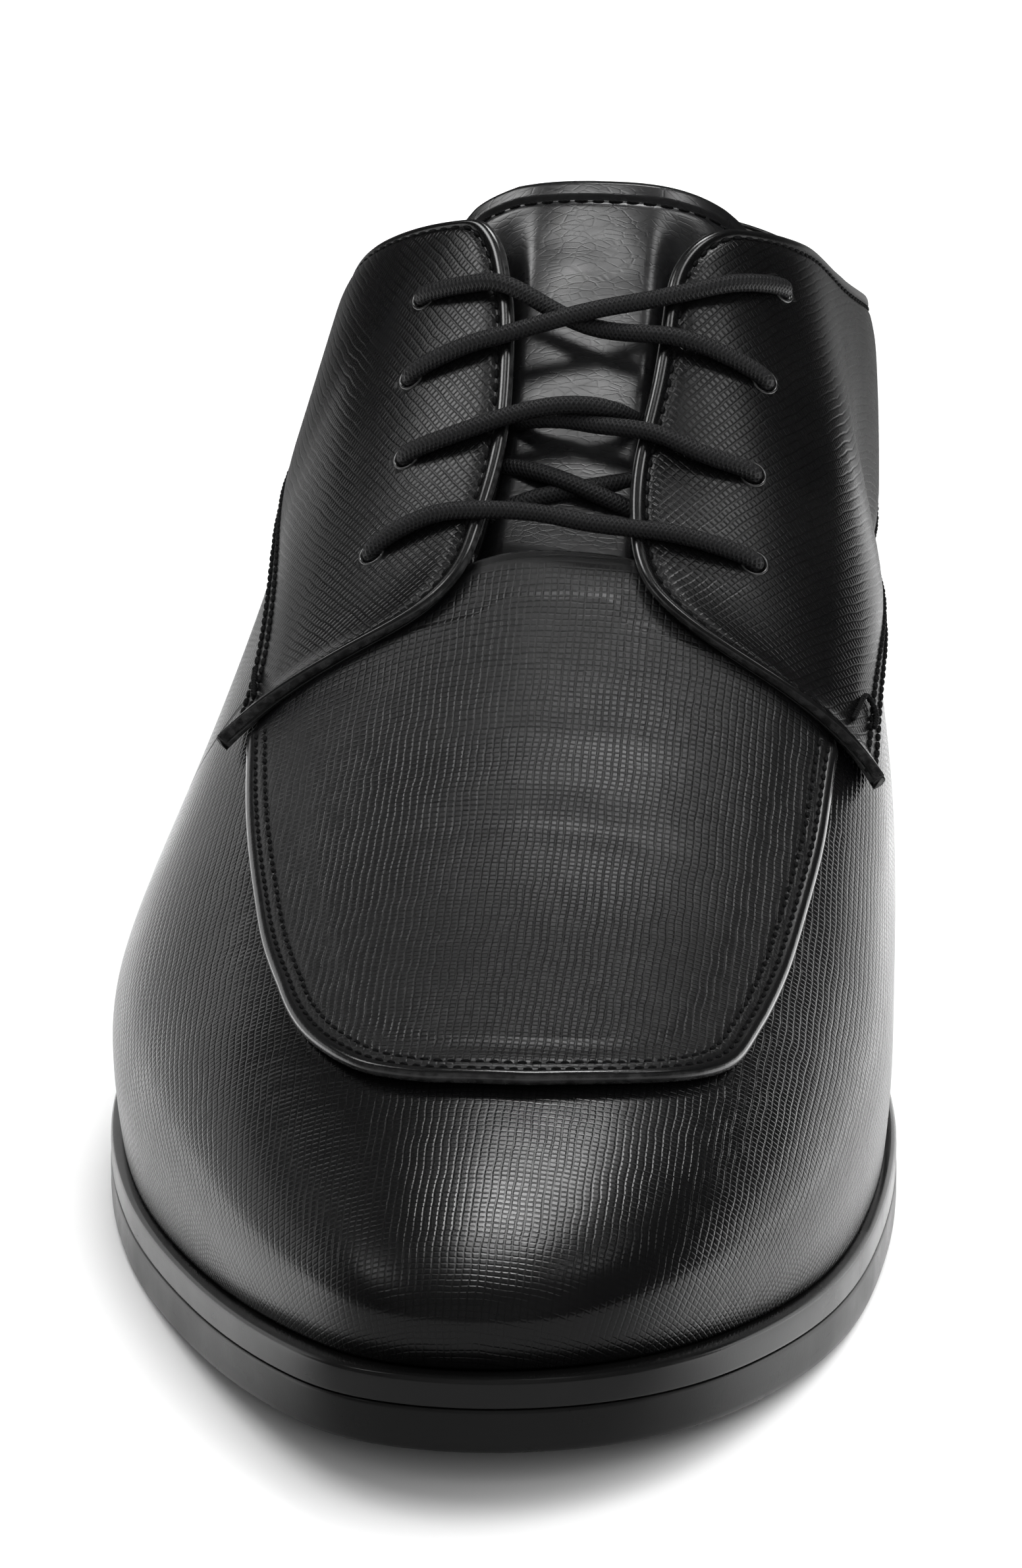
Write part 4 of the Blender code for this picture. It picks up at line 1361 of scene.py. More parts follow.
def finish(name, colour, roughness, mirror):
    """New material with its graph, shader, Object coordinates and colour."""
    made = bpy.data.materials.new(name)
    made.use_nodes = True
    graph = Graph(made.node_tree)
    shader = made.node_tree.nodes["Principled BSDF"]
    shader.inputs["Roughness"].default_value = roughness
    shader.inputs["Specular IOR Level"].default_value = mirror
    place = graph.add("ShaderNodeTexCoord").outputs["Object"]
    return made, graph, shader, place, (*colour, 1.0)


def field_of(graph, name):
    """Node that reads a point attribute of the mesh."""
    return graph.add("ShaderNodeAttribute", attribute_name=name, attribute_type="GEOMETRY")


def shade(colour, gain, lift=0.0):
    """The colour made darker or paler."""
    return tuple(gain * value + lift for value in colour[:3]) + (1.0,)


def dusted(graph, shader, place, amount, tone):
    """Give the shader this colour with fine dust on it."""
    dust = group_node(graph, "fine_dust", Place=place, Amount=amount).outputs["Mask"]
    graph.put(shader.inputs["Base Color"], graph.blend(dust, tone, DUST))


def embossed(graph, shader, height, depth, strength=1.0):
    """Give the shader a relief of this depth in mm."""
    sockets = {"Strength": strength, "Distance": depth * MM, "Height": height}
    graph.put(shader.inputs["Normal"], graph.add("ShaderNodeBump", sockets).outputs[0])


def grained_leather(name, colour, cell, turn, depth, rim_width, dull, mirror, flank):
    """Black leather with a pressed cross-hatch, painted shade in its furrows, a satin finish and rubbed
    edges.
    """
    made, graph, shader, place, colour = finish(name, colour, dull, mirror)
    flat = field_of(graph, "flat").outputs["Vector"]
    grain = group_node(graph, "pressed_grain", Flat=flat, Cell=cell, Turn=turn)
    edge = field_of(graph, "edge").outputs["Fac"]
    calm = graph.span(edge, 1.9, 3.4, 0.12, 1.0)
    if flank > 1.0:
        side = graph.math("ABSOLUTE", graph.add("ShaderNodeSeparateXYZ", {0: place}).outputs[0])
        calm = graph.math("MULTIPLY", calm, graph.span(side, *FLANK_SPAN, 1.0, flank))
    height, patch = grain.outputs["Height"], grain.outputs["Patch"]
    wear = group_node(graph, "leather_wear", Edge=edge, Place=place, Width=rim_width).outputs["Mask"]
    # base colour darker in the grain's pressed furrows: painted shade in the recesses
    tone = graph.blend(graph.span(height, 0.0, 1.0), shade(colour, 0.55), colour)
    dusted(graph, shader, place, 0.2, graph.blend(wear, tone, shade(colour, 2.1, 0.02)))
    rough = graph.span(patch, 0.3, 0.7, dull - 0.03, dull + 0.03)
    rough = graph.math("ADD", rough, graph.span(height, 0.0, 1.2, 0.05, 0.0))
    lip = graph.span(edge, 2.0, 1.1)
    polish = graph.math("MULTIPLY", lip, graph.math("SUBTRACT", 0.24, rough))
    graph.put(shader.inputs["Roughness"], graph.math("ADD", rough, polish))
    graph.put(shader.inputs["Coat Weight"], graph.span(lip, 0.0, 1.0, 0.04, 0.8))
    shader.inputs["Coat Roughness"].default_value = 0.2
    embossed(graph, shader, graph.math("MULTIPLY", height, calm), depth)
    return made


def smooth_leather(name, colour):
    """Glossy tongue leather with fine wrinkles, with painted shade along them."""
    made, graph, shader, place, colour = finish(name, colour, 0.27, 0.7)
    flat = field_of(graph, "flat").outputs["Vector"]
    drawn = graph.vector("MULTIPLY", flat, (0.55, 1.25, 1.0))
    sockets = {"Vector": drawn, "Scale": 0.9}
    cells = graph.add("ShaderNodeTexVoronoi", sockets, feature="DISTANCE_TO_EDGE")
    wrinkle = graph.span(cells.outputs["Distance"], 0.0, 0.12)
    slack = graph.noise(drawn, 0.22, 3.0)
    height = graph.math("ADD", graph.math("MULTIPLY", wrinkle, 0.14), graph.math("MULTIPLY", slack, 0.8))
    embossed(graph, shader, height, 0.05)
    # base colour darker along the wrinkles: painted shade in the creases
    dusted(graph, shader, place, 0.2, graph.blend(wrinkle, shade(colour, 0.6), colour))
    graph.put(shader.inputs["Roughness"], graph.span(slack, 0.3, 0.7, 0.25, 0.31))
    return made


def lining_leather(name, colour, pore):
    """Brushed lining leather: fine pores with painted shade in them, a soft nap and dust."""
    made, graph, shader, place, colour = finish(name, colour, 0.75, 0.3)
    cells = graph.add("ShaderNodeTexVoronoi", {"Vector": place, "Scale": 1.0 / pore})
    pores = graph.span(cells.outputs["Distance"], 0.08, 0.4)
    nap = graph.noise(place, 0.5 / pore, 3.0, 0.6)
    worn = graph.noise(place, 38.0, 3.0)
    # base colour darker in the pores: painted shade in the pits; the worn patches below are paler wear
    tone = graph.blend(pores, shade(colour, 0.6), colour)
    tone = graph.blend(graph.span(worn, 0.35, 0.7), tone, shade(colour, 1.5))
    dusted(graph, shader, place, 0.4, tone)
    graph.put(shader.inputs["Roughness"], graph.span(worn, 0.3, 0.7, 0.8, 0.62))
    embossed(graph, shader, graph.math("ADD", pores, graph.math("MULTIPLY", nap, 0.6)), 0.06, 0.6)
    return made


def braided_cord(name, colour):
    """Waxed lace: two sets of strands wound against each other, paler on their tops with painted shade
    between them.
    """
    made, graph, shader, place, colour = finish(name, colour, 0.5, 0.22)
    lay = graph.add("ShaderNodeSeparateXYZ", {0: field_of(graph, "lay").outputs["Vector"]})
    turn = graph.math("ARCTAN2", lay.outputs[2], lay.outputs[1])
    onward = graph.math("MULTIPLY", lay.outputs[0], 9.5)
    strands = []
    for hand in (1.0, -1.0):
        phase = graph.math("ADD", graph.math("MULTIPLY", turn, 7.0 * hand), onward)
        strands.append(graph.math("SINE", phase))
    height = graph.math("MAXIMUM", *strands)
    fibre = graph.noise(place, 5200.0, 2.0)
    height = graph.math("ADD", height, graph.math("MULTIPLY", fibre, 0.5))
    embossed(graph, shader, height, 0.06)
    # paler on the strands' tops than between them: painted highlight and painted shade
    tone = graph.blend(graph.span(height, -0.4, 1.2), colour, shade(colour, 2.0))
    dusted(graph, shader, place, 0.3, tone)
    graph.put(shader.inputs["Roughness"], graph.span(height, -0.5, 1.2, 0.62, 0.44))
    return made


def thread_finish(name, colour):
    """Twisted bonded thread, paler on the raised turns of its twist with painted shade between them."""
    made, graph, shader, place, colour = finish(name, colour, 0.6, 0.08)
    sockets = {"Vector": place, "Scale": 900.0, "Distortion": 2.0}
    twist = graph.add("ShaderNodeTexWave", sockets, bands_direction="DIAGONAL").outputs["Fac"]
    # paler on the raised turns of the twist: painted highlight, with painted shade in the grooves
    graph.put(shader.inputs["Base Color"], graph.blend(twist, colour, shade(colour, 1.8)))
    graph.put(shader.inputs["Roughness"], graph.span(twist, 0.0, 1.0, 0.75, 0.65))
    embossed(graph, shader, twist, 0.04, 0.7)
    return made


def moulded_rubber(name, colour, gloss, mirror):
    """Buffed rubber edge: satin, with fine mould texture, rubbed patches and dust."""
    made, graph, shader, place, colour = finish(name, colour, gloss, mirror)
    fine = graph.noise(place, 2400.0, 2.0)
    patches = graph.noise(place, 60.0, 4.0, 0.6)
    scuff = graph.noise(graph.vector("MULTIPLY", place, (220.0, 220.0, 1500.0)), 1.0, 2.0)
    scuffs = graph.math("MULTIPLY", graph.span(scuff, 0.62, 0.75), graph.span(patches, 0.55, 0.7))
    tone = graph.blend(graph.math("MULTIPLY", scuffs, 0.5), colour, shade(colour, 2.0, 0.01))
    dusted(graph, shader, place, 0.8, tone)
    rough = graph.span(patches, 0.3, 0.7, gloss - 0.05, gloss + 0.07)
    graph.put(shader.inputs["Roughness"], graph.math("ADD", rough, graph.math("MULTIPLY", scuffs, 0.15)))
    embossed(graph, shader, graph.math("ADD", fine, graph.math("MULTIPLY", scuffs, -0.5)), 0.02, 0.35)
    return made


def floor_paper(name, colour):
    """White paper to the horizon; for glossy rays it is darker in front and far behind: painted shade in the
    shoe's gloss.
    """
    made, graph, shader, place, colour = finish(name, colour, 0.9, 0.1)
    tone = graph.blend(graph.noise(place, 9.0, 3.0), colour, shade(colour, 1.015))
    depth = graph.add("ShaderNodeSeparateXYZ", {0: place}).outputs[1]
    ray = graph.add("ShaderNodeLightPath")
    # painted shade in reflections: for glossy rays the paper is darker in front of the shoe and far behind it
    dim = graph.math("MAXIMUM", graph.span(depth, -0.09, -0.16), graph.span(depth, 0.12, 0.3))
    mirrored = graph.math("MULTIPLY", ray.outputs["Is Glossy Ray"], graph.span(dim, 0.0, 1.0, 0.05, 1.0))
    graph.put(shader.inputs["Base Color"], graph.blend(mirrored, tone, shade(colour, 0.22)))
    away = graph.vector("LENGTH", place, output="Value")
    glow = graph.math("MULTIPLY", ray.outputs["Is Camera Ray"], graph.span(away, 0.3, 0.7))
    graph.put(shader.inputs["Emission Color"], graph.blend(glow, BLACK, WHITE))
    shader.inputs["Emission Strength"].default_value = 1.0
    return made


def node_tree(name, inputs):
    """Empty Geometry Nodes tree with named inputs, its graph, and its input and output nodes."""
    tree = bpy.data.node_groups.new(name, "GeometryNodeTree")
    for socket, kind in (("Geometry", "NodeSocketGeometry"), *inputs):
        tree.interface.new_socket(socket, in_out="INPUT", socket_type=kind)
    tree.interface.new_socket("Geometry", in_out="OUTPUT", socket_type="NodeSocketGeometry")
    graph = Graph(tree)
    return tree, graph, graph.add("NodeGroupInput"), graph.add("NodeGroupOutput")


def stitch_tree():
    """Beads of thread at even steps along rows, laid along the row and on the surface's normal."""
    inputs = (("Pitch", VALUE), ("Length", VALUE), ("Radius", VALUE), ("Thread", "NodeSocketMaterial"))
    tree, graph, given, out = node_tree("stitch_rows", inputs)
    curve = graph.add("GeometryNodeMeshToCurve", {"Mesh": given.outputs["Geometry"]})
    sockets = {"Curve": curve.outputs[0], "Length": given.outputs["Pitch"]}
    even = graph.add("GeometryNodeResampleCurve", sockets, mode="LENGTH")
    sockets = {"Rotation": upright(graph), "Vector": graph.add("GeometryNodeInputTangent").outputs[0]}
    laid = graph.add("FunctionNodeAlignRotationToVector", sockets, axis="X", pivot_axis="Z")
    chance = graph.add("FunctionNodeRandomValue", {"Seed": 7, 2: 0.9, 3: 1.1}).outputs[1]
    bead = graph.add("GeometryNodeMeshUVSphere", {"Segments": 8, "Rings": 6, "Radius": 1.0})
    half = graph.math("MULTIPLY", given.outputs["Length"], 0.5)
    along_row = graph.math("MULTIPLY", half, chance)
    upward = graph.math("MULTIPLY", given.outputs["Radius"], chance)
    size = graph.add("ShaderNodeCombineXYZ", {0: along_row, 1: given.outputs["Radius"], 2: upward})
    sockets = {"Rotation": laid.outputs[0], "Scale": size.outputs[0]}
    close_tree(graph, even, bead, sockets, given.outputs["Thread"], out)
    return tree


def eyelet_tree():
    """Rolled rim of a punched eyelet at each point, square to the surface's normal."""
    inputs = (("Radius", VALUE), ("Rim", VALUE), ("Leather", "NodeSocketMaterial"))
    tree, graph, given, out = node_tree("eyelet_rims", inputs)
    points = graph.add("GeometryNodeMeshToPoints", {"Mesh": given.outputs["Geometry"]})
    circles = [
        graph.add("GeometryNodeCurvePrimitiveCircle", {"Resolution": sides, "Radius": given.outputs[size]})
        for sides, size in ((28, "Radius"), (8, "Rim"))
    ]
    ring, bead = (circle.outputs[0] for circle in circles)
    rim = graph.add("GeometryNodeCurveToMesh", {"Curve": ring, "Profile Curve": bead})
    close_tree(graph, points, rim, {"Rotation": upright(graph)}, given.outputs["Leather"], out)
    return tree


def upright(graph):
    """Rotation whose z is the row's normal."""
    up = graph.add("GeometryNodeInputNamedAttribute", {"Name": "up"}, data_type="FLOAT_VECTOR")
    return graph.add("FunctionNodeAlignRotationToVector", {"Vector": up.outputs[0]}, axis="Z").outputs[0]


def close_tree(graph, points, shape, placing, material, out):
    """End of a tree: the shape at each point, realised, smooth and in its material."""
    sockets = {"Points": points.outputs[0], "Instance": shape.outputs[0], **placing}
    instances = graph.add("GeometryNodeInstanceOnPoints", sockets).outputs[0]
    real = graph.add("GeometryNodeRealizeInstances", {"Geometry": instances})
    smooth = graph.add("GeometryNodeSetShadeSmooth", {"Geometry": real.outputs[0]})
    dressed = graph.add("GeometryNodeSetMaterial", {"Geometry": smooth.outputs[0], "Material": material})
    graph.put(out.inputs[0], dressed.outputs[0])


def grown(name, tree, rows, values):
    """Mesh that a tree grows on rows of points with their normals."""
    points, ups, edges = [], [], []
    for line, up in rows:
        start = sum(map(len, points))
        points.append((np.asarray(line) - (CENTRE_X, 0, 0)) * MM)
        ups.append(np.asarray(up))
        edges += [(start + i, start + i + 1) for i in range(len(line) - 1)]
    mesh = bpy.data.meshes.new(name)
    mesh.from_pydata(np.vstack(points).tolist(), edges, [])
    mesh.attributes.new("up", "FLOAT_VECTOR", "POINT").data.foreach_set("vector", np.vstack(ups).ravel())
    obj = linked(name, mesh)
    modifier = obj.modifiers.new(name, "NODES")
    modifier.node_group = tree
    sockets = {item.name: item.identifier for item in tree.interface.items_tree if item.in_out == "INPUT"}
    for key, value in values.items():
        modifier[sockets[key]] = value
    return baked(obj)


def palette(context, key):
    """Colour set in the sidebar."""
    return tuple(getattr(context.scene.derby_colours, key))


def stock(name, make, *values):
    """Material or group by name, made when it is first asked for."""
    for shelf in (bpy.data.materials, bpy.data.node_groups):
        if name in shelf:
            return shelf[name]
    return make(*values)


def leather_for(context, name):
    """Grained leather of this name."""
    cell = context.scene.derby_sizes.grain_cell / MM
    return stock(name, grained_leather, name, palette(context, "leather"), cell, *LEATHERS[name])


class DERBY_OT_materials(bpy.types.Operator):
    """Make the shared effects: pressed grain, rubbed edges and dust"""

    bl_idname = "derby.materials"
    bl_label = "Shared effects"

    def execute(self, context):
        stock("pressed_grain", pressed_grain)
        stock("leather_wear", leather_wear)
        stock("fine_dust", fine_dust)
        return {"FINISHED"}


class DERBY_OT_vamp(bpy.types.Operator):
    """Build the lasted vamp and back part, with the eyelets punched through"""

    bl_idname = "derby.vamp"
    bl_label = "Vamp and back part"

    def execute(self, context):
        ys = np.concatenate([np.linspace(TOE_FAN_Y, THROAT_Y, 58), np.linspace(-12, HEEL_FAN_Y, 84)])
        fan = FAN_S[np.linspace(0, len(FAN_S) - 1, 110).round().astype(int)][1:-1]
        heel = np.linspace(station(HEEL_FAN_Y, OUTER), station(HEEL_FAN_Y, INNER), 62)[1:-1]
        s = np.concatenate([fan, station(ys, OUTER), heel, station(ys[::-1], INNER)])
        y = feather_line(s)[:, 1]
        outer = np.mod(s, ROUND) < HEEL_S
        ends = np.ones_like(s)
        for side, here in ((OUTER, outer), (INNER, ~outer)):
            rows = np.array(EDGE_ROWS[side])
            facing = t_at_distance(s, np.interp(y, rows[:, 0], rows[:, 1]) + 1.0)
            collar = t_at_line(s, lambda at, side=side: topline[side](at) - 1.0)
            ends = np.where(here & (y > THROAT_Y + 0.1), np.minimum(facing, collar), ends)
        t = ends[:, None] * np.linspace(0, 1, 76)[None] ** 1.05
        s = np.broadcast_to(s[:, None], t.shape)
        points = skin(s, t, np.zeros(t.shape))
        faces = grid_quads(*t.shape, wrap_rows=True)
        flat = flat_pattern(s, t)
        mesh = mesh_of("vamp", points, faces, closed=False, flat=flat, edge=np.full(t.size, 9.0))
        obj = linked("vamp", mesh)
        solidify = obj.modifiers.new("thickness", "SOLIDIFY")
        solidify.thickness, solidify.offset = WALL * MM, -1
        mesh = punched(baked(obj), context.scene.derby_sizes.eyelet_radius / MM)
        piece("vamp", mesh, leather_for(context, "derby_vamp"), "upper_leather", "upper")
        return {"FINISHED"}


class DERBY_OT_apron(bpy.types.Operator):
    """Build the raised apron with its cut edge, stitch grooves and soft creases"""

    bl_idname = "derby.apron"
    bl_label = "Apron"

    def execute(self, context):
        work, front = make_apron()
        s, t, lift, distance = work.grid()
        plain = 1.25 + (APRON_FIELD - 1.25) * ease(1.0, 9.0, distance[front:])
        lift[front:] = np.minimum(lift[front:], plain)
        at = wall(s, t)
        across = at[..., 0] - ridge(np.clip(at[..., 1], TOE_FAN_Y, HEEL_FAN_Y))[..., 0]
        over = ease(0.9, 1.3, lift)
        for y, reach, depth, half in APRON_CREASES:
            bowed = at[..., 1] + 0.004 * across**2
            trough = bell(bowed, y, half) * (1 - ease(0.4, 1.0, np.abs(across) / reach))
            lift = lift - over * depth * trough
        points = skin(s, t, lift)
        faces = grid_quads(*s.shape, wrap_rows=True, wrap_columns=True).reshape(*s.shape, 4)
        spine = len(APRON_LIP) + work.middle_rows
        faces = np.delete(faces, spine, axis=1).reshape(-1, 4)
        mesh = mesh_of("apron_overlay", points, faces, flat=flat_pattern(s, t), edge=distance)
        piece("apron_overlay", mesh, leather_for(context, "derby_apron"), "apron_leather", "apron")
        return {"FINISHED"}


class DERBY_OT_quarters(bpy.types.Operator):
    """Build both quarters with folded lips, free wing tips and punched eyelets"""

    bl_idname = "derby.quarters"
    bl_label = "Quarters"

    def execute(self, context):
        radius = context.scene.derby_sizes.eyelet_radius / MM
        for side, name, node in QUARTERS:
            s, t, lift, distance = make_quarter(side).grid()
            flat = flat_pattern(s, t)
            flat[..., 1] *= 1.25
            mesh = mesh_of(name, skin(s, t, lift), capped(*s.shape), flat=flat, edge=distance)
            mesh = punched(mesh, radius, side)
            leather = leather_for(context, "derby_" + name)
            piece(name, mesh, leather, "quarter_leather", node)
        return {"FINISHED"}


def strip_shape():
    """Back strip as s, t, upper and lower height, distance in from its rim, and place in the leather."""
    across = np.linspace(-1, 1, 41)
    top = float(t_at_line(np.array([HEEL_S]), topline[OUTER])[0]) - 0.006
    t = np.linspace(0.02, top, 100)[:, None] + np.zeros((1, 41))
    half = STRIP_HALF * (1.0 - 0.3 * ease(0.35, 0.6, t))
    s = HEEL_S + half * across[None]
    base = skin(s, t, np.zeros(s.shape))
    rim = edge_distance(base.reshape(-1, 3), rim_line(base)).reshape(s.shape)
    below = ease(0.0, 2.5, seam[OUTER](base[..., 1]) - base[..., 2] + 1.0)
    lift = (STRIP_LIFT - STRIP_DROP * below) * (1 - 0.4 * ease(top - 0.05, top, t))
    lift = lift - 0.8 * (1 - rounded(rim, 0.7)) - 0.2 * bell(rim, 2.0, 0.35)
    return s, t, lift, 1.2 - 1.15 * below, rim, flat_pattern(s, t)


def tongue_shape(thickness):
    """Tongue as s, t, upper and lower height, distance in from the rim, and place in the leather."""
    distance, y = tongue_grid()
    s, t = plan_st(distance, y)
    base = skin(s, t, np.zeros(s.shape))
    rim = edge_distance(base.reshape(-1, 3), rim_line(base)).reshape(s.shape)
    round_off = thickness / 2 * rounded(rim, 1.1)
    sag = -2.4 * ease(8.5, 14.0, np.abs(distance)) * (1 - ease(24.0, 34.0, y))
    flatter = 0.6 * (1 - np.exp(-0.0105 * distance**2))
    level = -WALL - 0.8 - thickness / 2 + sag + flatter
    top = level + round_off
    for at, middle, reach, depth, half in TONGUE_CREASES:
        bowed = y + 0.006 * (distance - middle) ** 2
        here = 1 - ease(0.3, 1.0, np.abs(distance - middle) / reach)
        top = top - depth * bell(bowed, at, half) * here * ease(1.0, 4.0, rim)
    behind = ease(20.0, 27.0, y)
    groove = bell(rim, TONGUE_ROW, 0.45) * behind
    band = 0.3 * ease(0.4, 1.2, rim) * (1 - ease(TONGUE_ROW - 0.8, TONGUE_ROW, rim)) * behind
    flat = np.stack([distance, y * 1.35, np.zeros_like(y)], -1)
    return s, t, top + band - 0.26 * groove, level - round_off, rim, flat


def two_skins(s, t, top, low):
    """Points of an upper and a lower skin, and the faces of both."""
    quads = grid_quads(*s.shape)
    points = np.concatenate([skin(s, t, top), skin(s, t, low)])
    return points, np.vstack([quads, quads[:, ::-1] + s.size])


def tongue_row(thickness):
    """Points and normals of the row of stitches under the tongue's top edge."""
    s, t, top, _, rim, _ = tongue_shape(thickness)
    columns = np.arange(12, s.shape[1] - 12)
    rows = np.array([np.nonzero(rim[:, column] >= TONGUE_ROW)[0][-1] for column in columns])
    s, t, top = (field[rows, columns] for field in (s, t, top))
    return skin(s, t, top + 0.12), normals(s, t)


class DERBY_OT_back_strip(bpy.types.Operator):
    """Lay the strip over the join of the quarters at the heel"""

    bl_idname = "derby.back_strip"
    bl_label = "Back strip"

    def execute(self, context):
        s, t, lift, low, rim, flat = strip_shape()
        points, faces = two_skins(s, t, lift, low)
        index = np.arange(s.size).reshape(s.shape)
        ring = np.concatenate([index[0], index[1:, -1], index[-1, -2::-1], index[-2:0:-1, 0]])
        ahead = np.roll(ring, -1)
        sides = np.column_stack([ring, ahead, ahead + s.size, ring + s.size])
        fields = {"flat": np.concatenate([flat, flat]), "edge": np.concatenate([rim, rim])}
        mesh = mesh_of("back_strip", points, np.vstack([faces, sides]), **fields)
        piece("back_strip", mesh, leather_for(context, "derby_strip"), "quarter_leather")
        return {"FINISHED"}


class DERBY_OT_tongue(bpy.types.Operator):
    """Build the smooth tongue with its folded top band and creases"""

    bl_idname = "derby.tongue"
    bl_label = "Tongue"

    def execute(self, context):
        s, t, top, low, _, flat = tongue_shape(context.scene.derby_sizes.tongue / MM)
        points, faces = two_skins(s, t, top, low)
        mesh = mesh_of("tongue_flap", points, faces, flat=np.concatenate([flat, flat]))
        leather = stock("derby_tongue", smooth_leather, "derby_tongue", palette(context, "smooth"))
        piece("tongue_flap", mesh, leather, "tongue_leather", "tongue")
        return {"FINISHED"}


class DERBY_OT_lining(bpy.types.Operator):
    """Build the padded collar lining, rolled over the topline"""

    bl_idname = "derby.lining"
    bl_label = "Collar lining"

    def execute(self, context):
        ys = np.linspace(33.0, HEEL_FAN_Y, 120)
        heel = np.linspace(station(HEEL_FAN_Y, OUTER), station(HEEL_FAN_Y, INNER), 100)[1:-1]
        s = np.concatenate([station(ys, OUTER), heel, station(ys[::-1], INNER)])
        outer = s < HEEL_S
        t = np.where(outer, t_at_line(s, topline[OUTER]), t_at_line(s, topline[INNER]))
        edge, low = np.column_stack([s, t]), np.column_stack([s, np.full(len(s), 0.05)])
        work = Panelwork(edge, low, LINING_LIP, LINING_FIELD, (), 18)
        s, t, lift, _ = work.grid()
        mesh = mesh_of("collar_lining", skin(s, t, lift), capped(*s.shape))
        cloth = stock("derby_lining", lining_leather, "derby_lining", palette(context, "lining"), 0.8 * MM)
        piece("collar_lining", mesh, cloth, "upper_leather")
        return {"FINISHED"}


class DERBY_OT_sole(bpy.types.Operator):
    """Build the midsole, the outsole with its tread, the heel block and the insole"""

    bl_idname = "derby.sole"
    bl_label = "Sole, heel and insole"

    def execute(self, context):
        depth = context.scene.derby_sizes.tread_depth / MM
        rubber = palette(context, "rubber")
        edge_rubber = stock("derby_edge", moulded_rubber, "derby_edge", rubber, 0.22, 0.5)
        sole_rubber = stock("derby_rubber", moulded_rubber, "derby_rubber", rubber, 0.3, 0.32)
        levels = [(past_upper(grow), lambda y, z=z: sole_top(y) + z, None) for grow, z in MIDSOLE_SIDE]
        mesh = sole_layer("midsole_edge", levels, 360, 12)
        piece("midsole_edge", mesh, edge_rubber, "midsole_rubber", "midsole")
        levels = [(past_upper(grow), lambda y, z=z: sole_bottom(y) + z, None) for grow, z in OUTSOLE_SIDE]
        mesh = sole_layer("outsole_tread", levels, 520, 40, tread(depth))
        piece("outsole_tread", mesh, sole_rubber, "outsole_rubber", "outsole")
        levels = [
            (past_upper(grow), lambda y, a=share, b=z: a * (sole_bottom(y) - GAP) + b, BREAST_Y + back)
            for grow, share, z, back in HEEL_SIDE
        ]
        mesh = sole_layer("heel_block", levels, 220, 40, tread(depth))
        piece("heel_block", mesh, sole_rubber, "heel_rubber", "heel")
        inside = WALL + INSOLE_PLAY
        levels = [
            (lambda y, g=grow: np.full_like(y, g - inside), lambda y, z=z: sole_top(y) + GAP + z, None)
            for grow, z in INSOLE_SIDE
        ]
        sock = stock("derby_sock", lining_leather, "derby_sock", palette(context, "insole"), 1.1 * MM)
        mesh = sole_layer("insole_sock", levels, 200, 16)
        piece("insole_sock", mesh, sock, "insole_leather", "insole")
        return {"FINISHED"}


class DERBY_OT_lace(bpy.types.Operator):
    """Run the round lace through the eyelets, from one hidden end to the other"""

    bl_idname = "derby.lace"
    bl_label = "Lace"

    def execute(self, context):
        path = through(lace_route(), 1100)
        points, faces, lay = tube(path, context.scene.derby_sizes.lace_radius / MM, 16)
        mesh = mesh_of("lace", points, faces, lay=lay)
        cord = stock("derby_lace", braided_cord, "derby_lace", palette(context, "lace"))
        piece("lace", mesh, cord, "lace_cord", "lace_bar", "lace_cross_lower", "lace_cross_upper")
        return {"FINISHED"}


class DERBY_OT_eyelets(bpy.types.Operator):
    """Roll a thin rim round each punched eyelet"""

    bl_idname = "derby.eyelets"
    bl_label = "Eyelet rims"

    def execute(self, context):
        sizes = context.scene.derby_sizes
        tree = stock("eyelet_rims", eyelet_tree)
        rows = [([middle + 2.5 * up], [up]) for middle, up, _ in eyelet_sites()]
        leather = leather_for(context, "derby_rim")
        values = {"Radius": sizes.eyelet_radius + 0.1 * MM, "Rim": 0.2 * MM, "Leather": leather}
        piece("eyelet_rims", grown("eyelet_rims", tree, rows, values), None, "quarter_leather")
        return {"FINISHED"}


def on_quarter(points):
    """Path over a quarter through places given as distance from the ridge and y."""
    path = through(points, 24)
    s, t = plan_st(path[:, 0], path[:, 1])
    return skin(s, t, np.full(len(s), QUARTER_FIELD + 0.35)), normals(s, t)


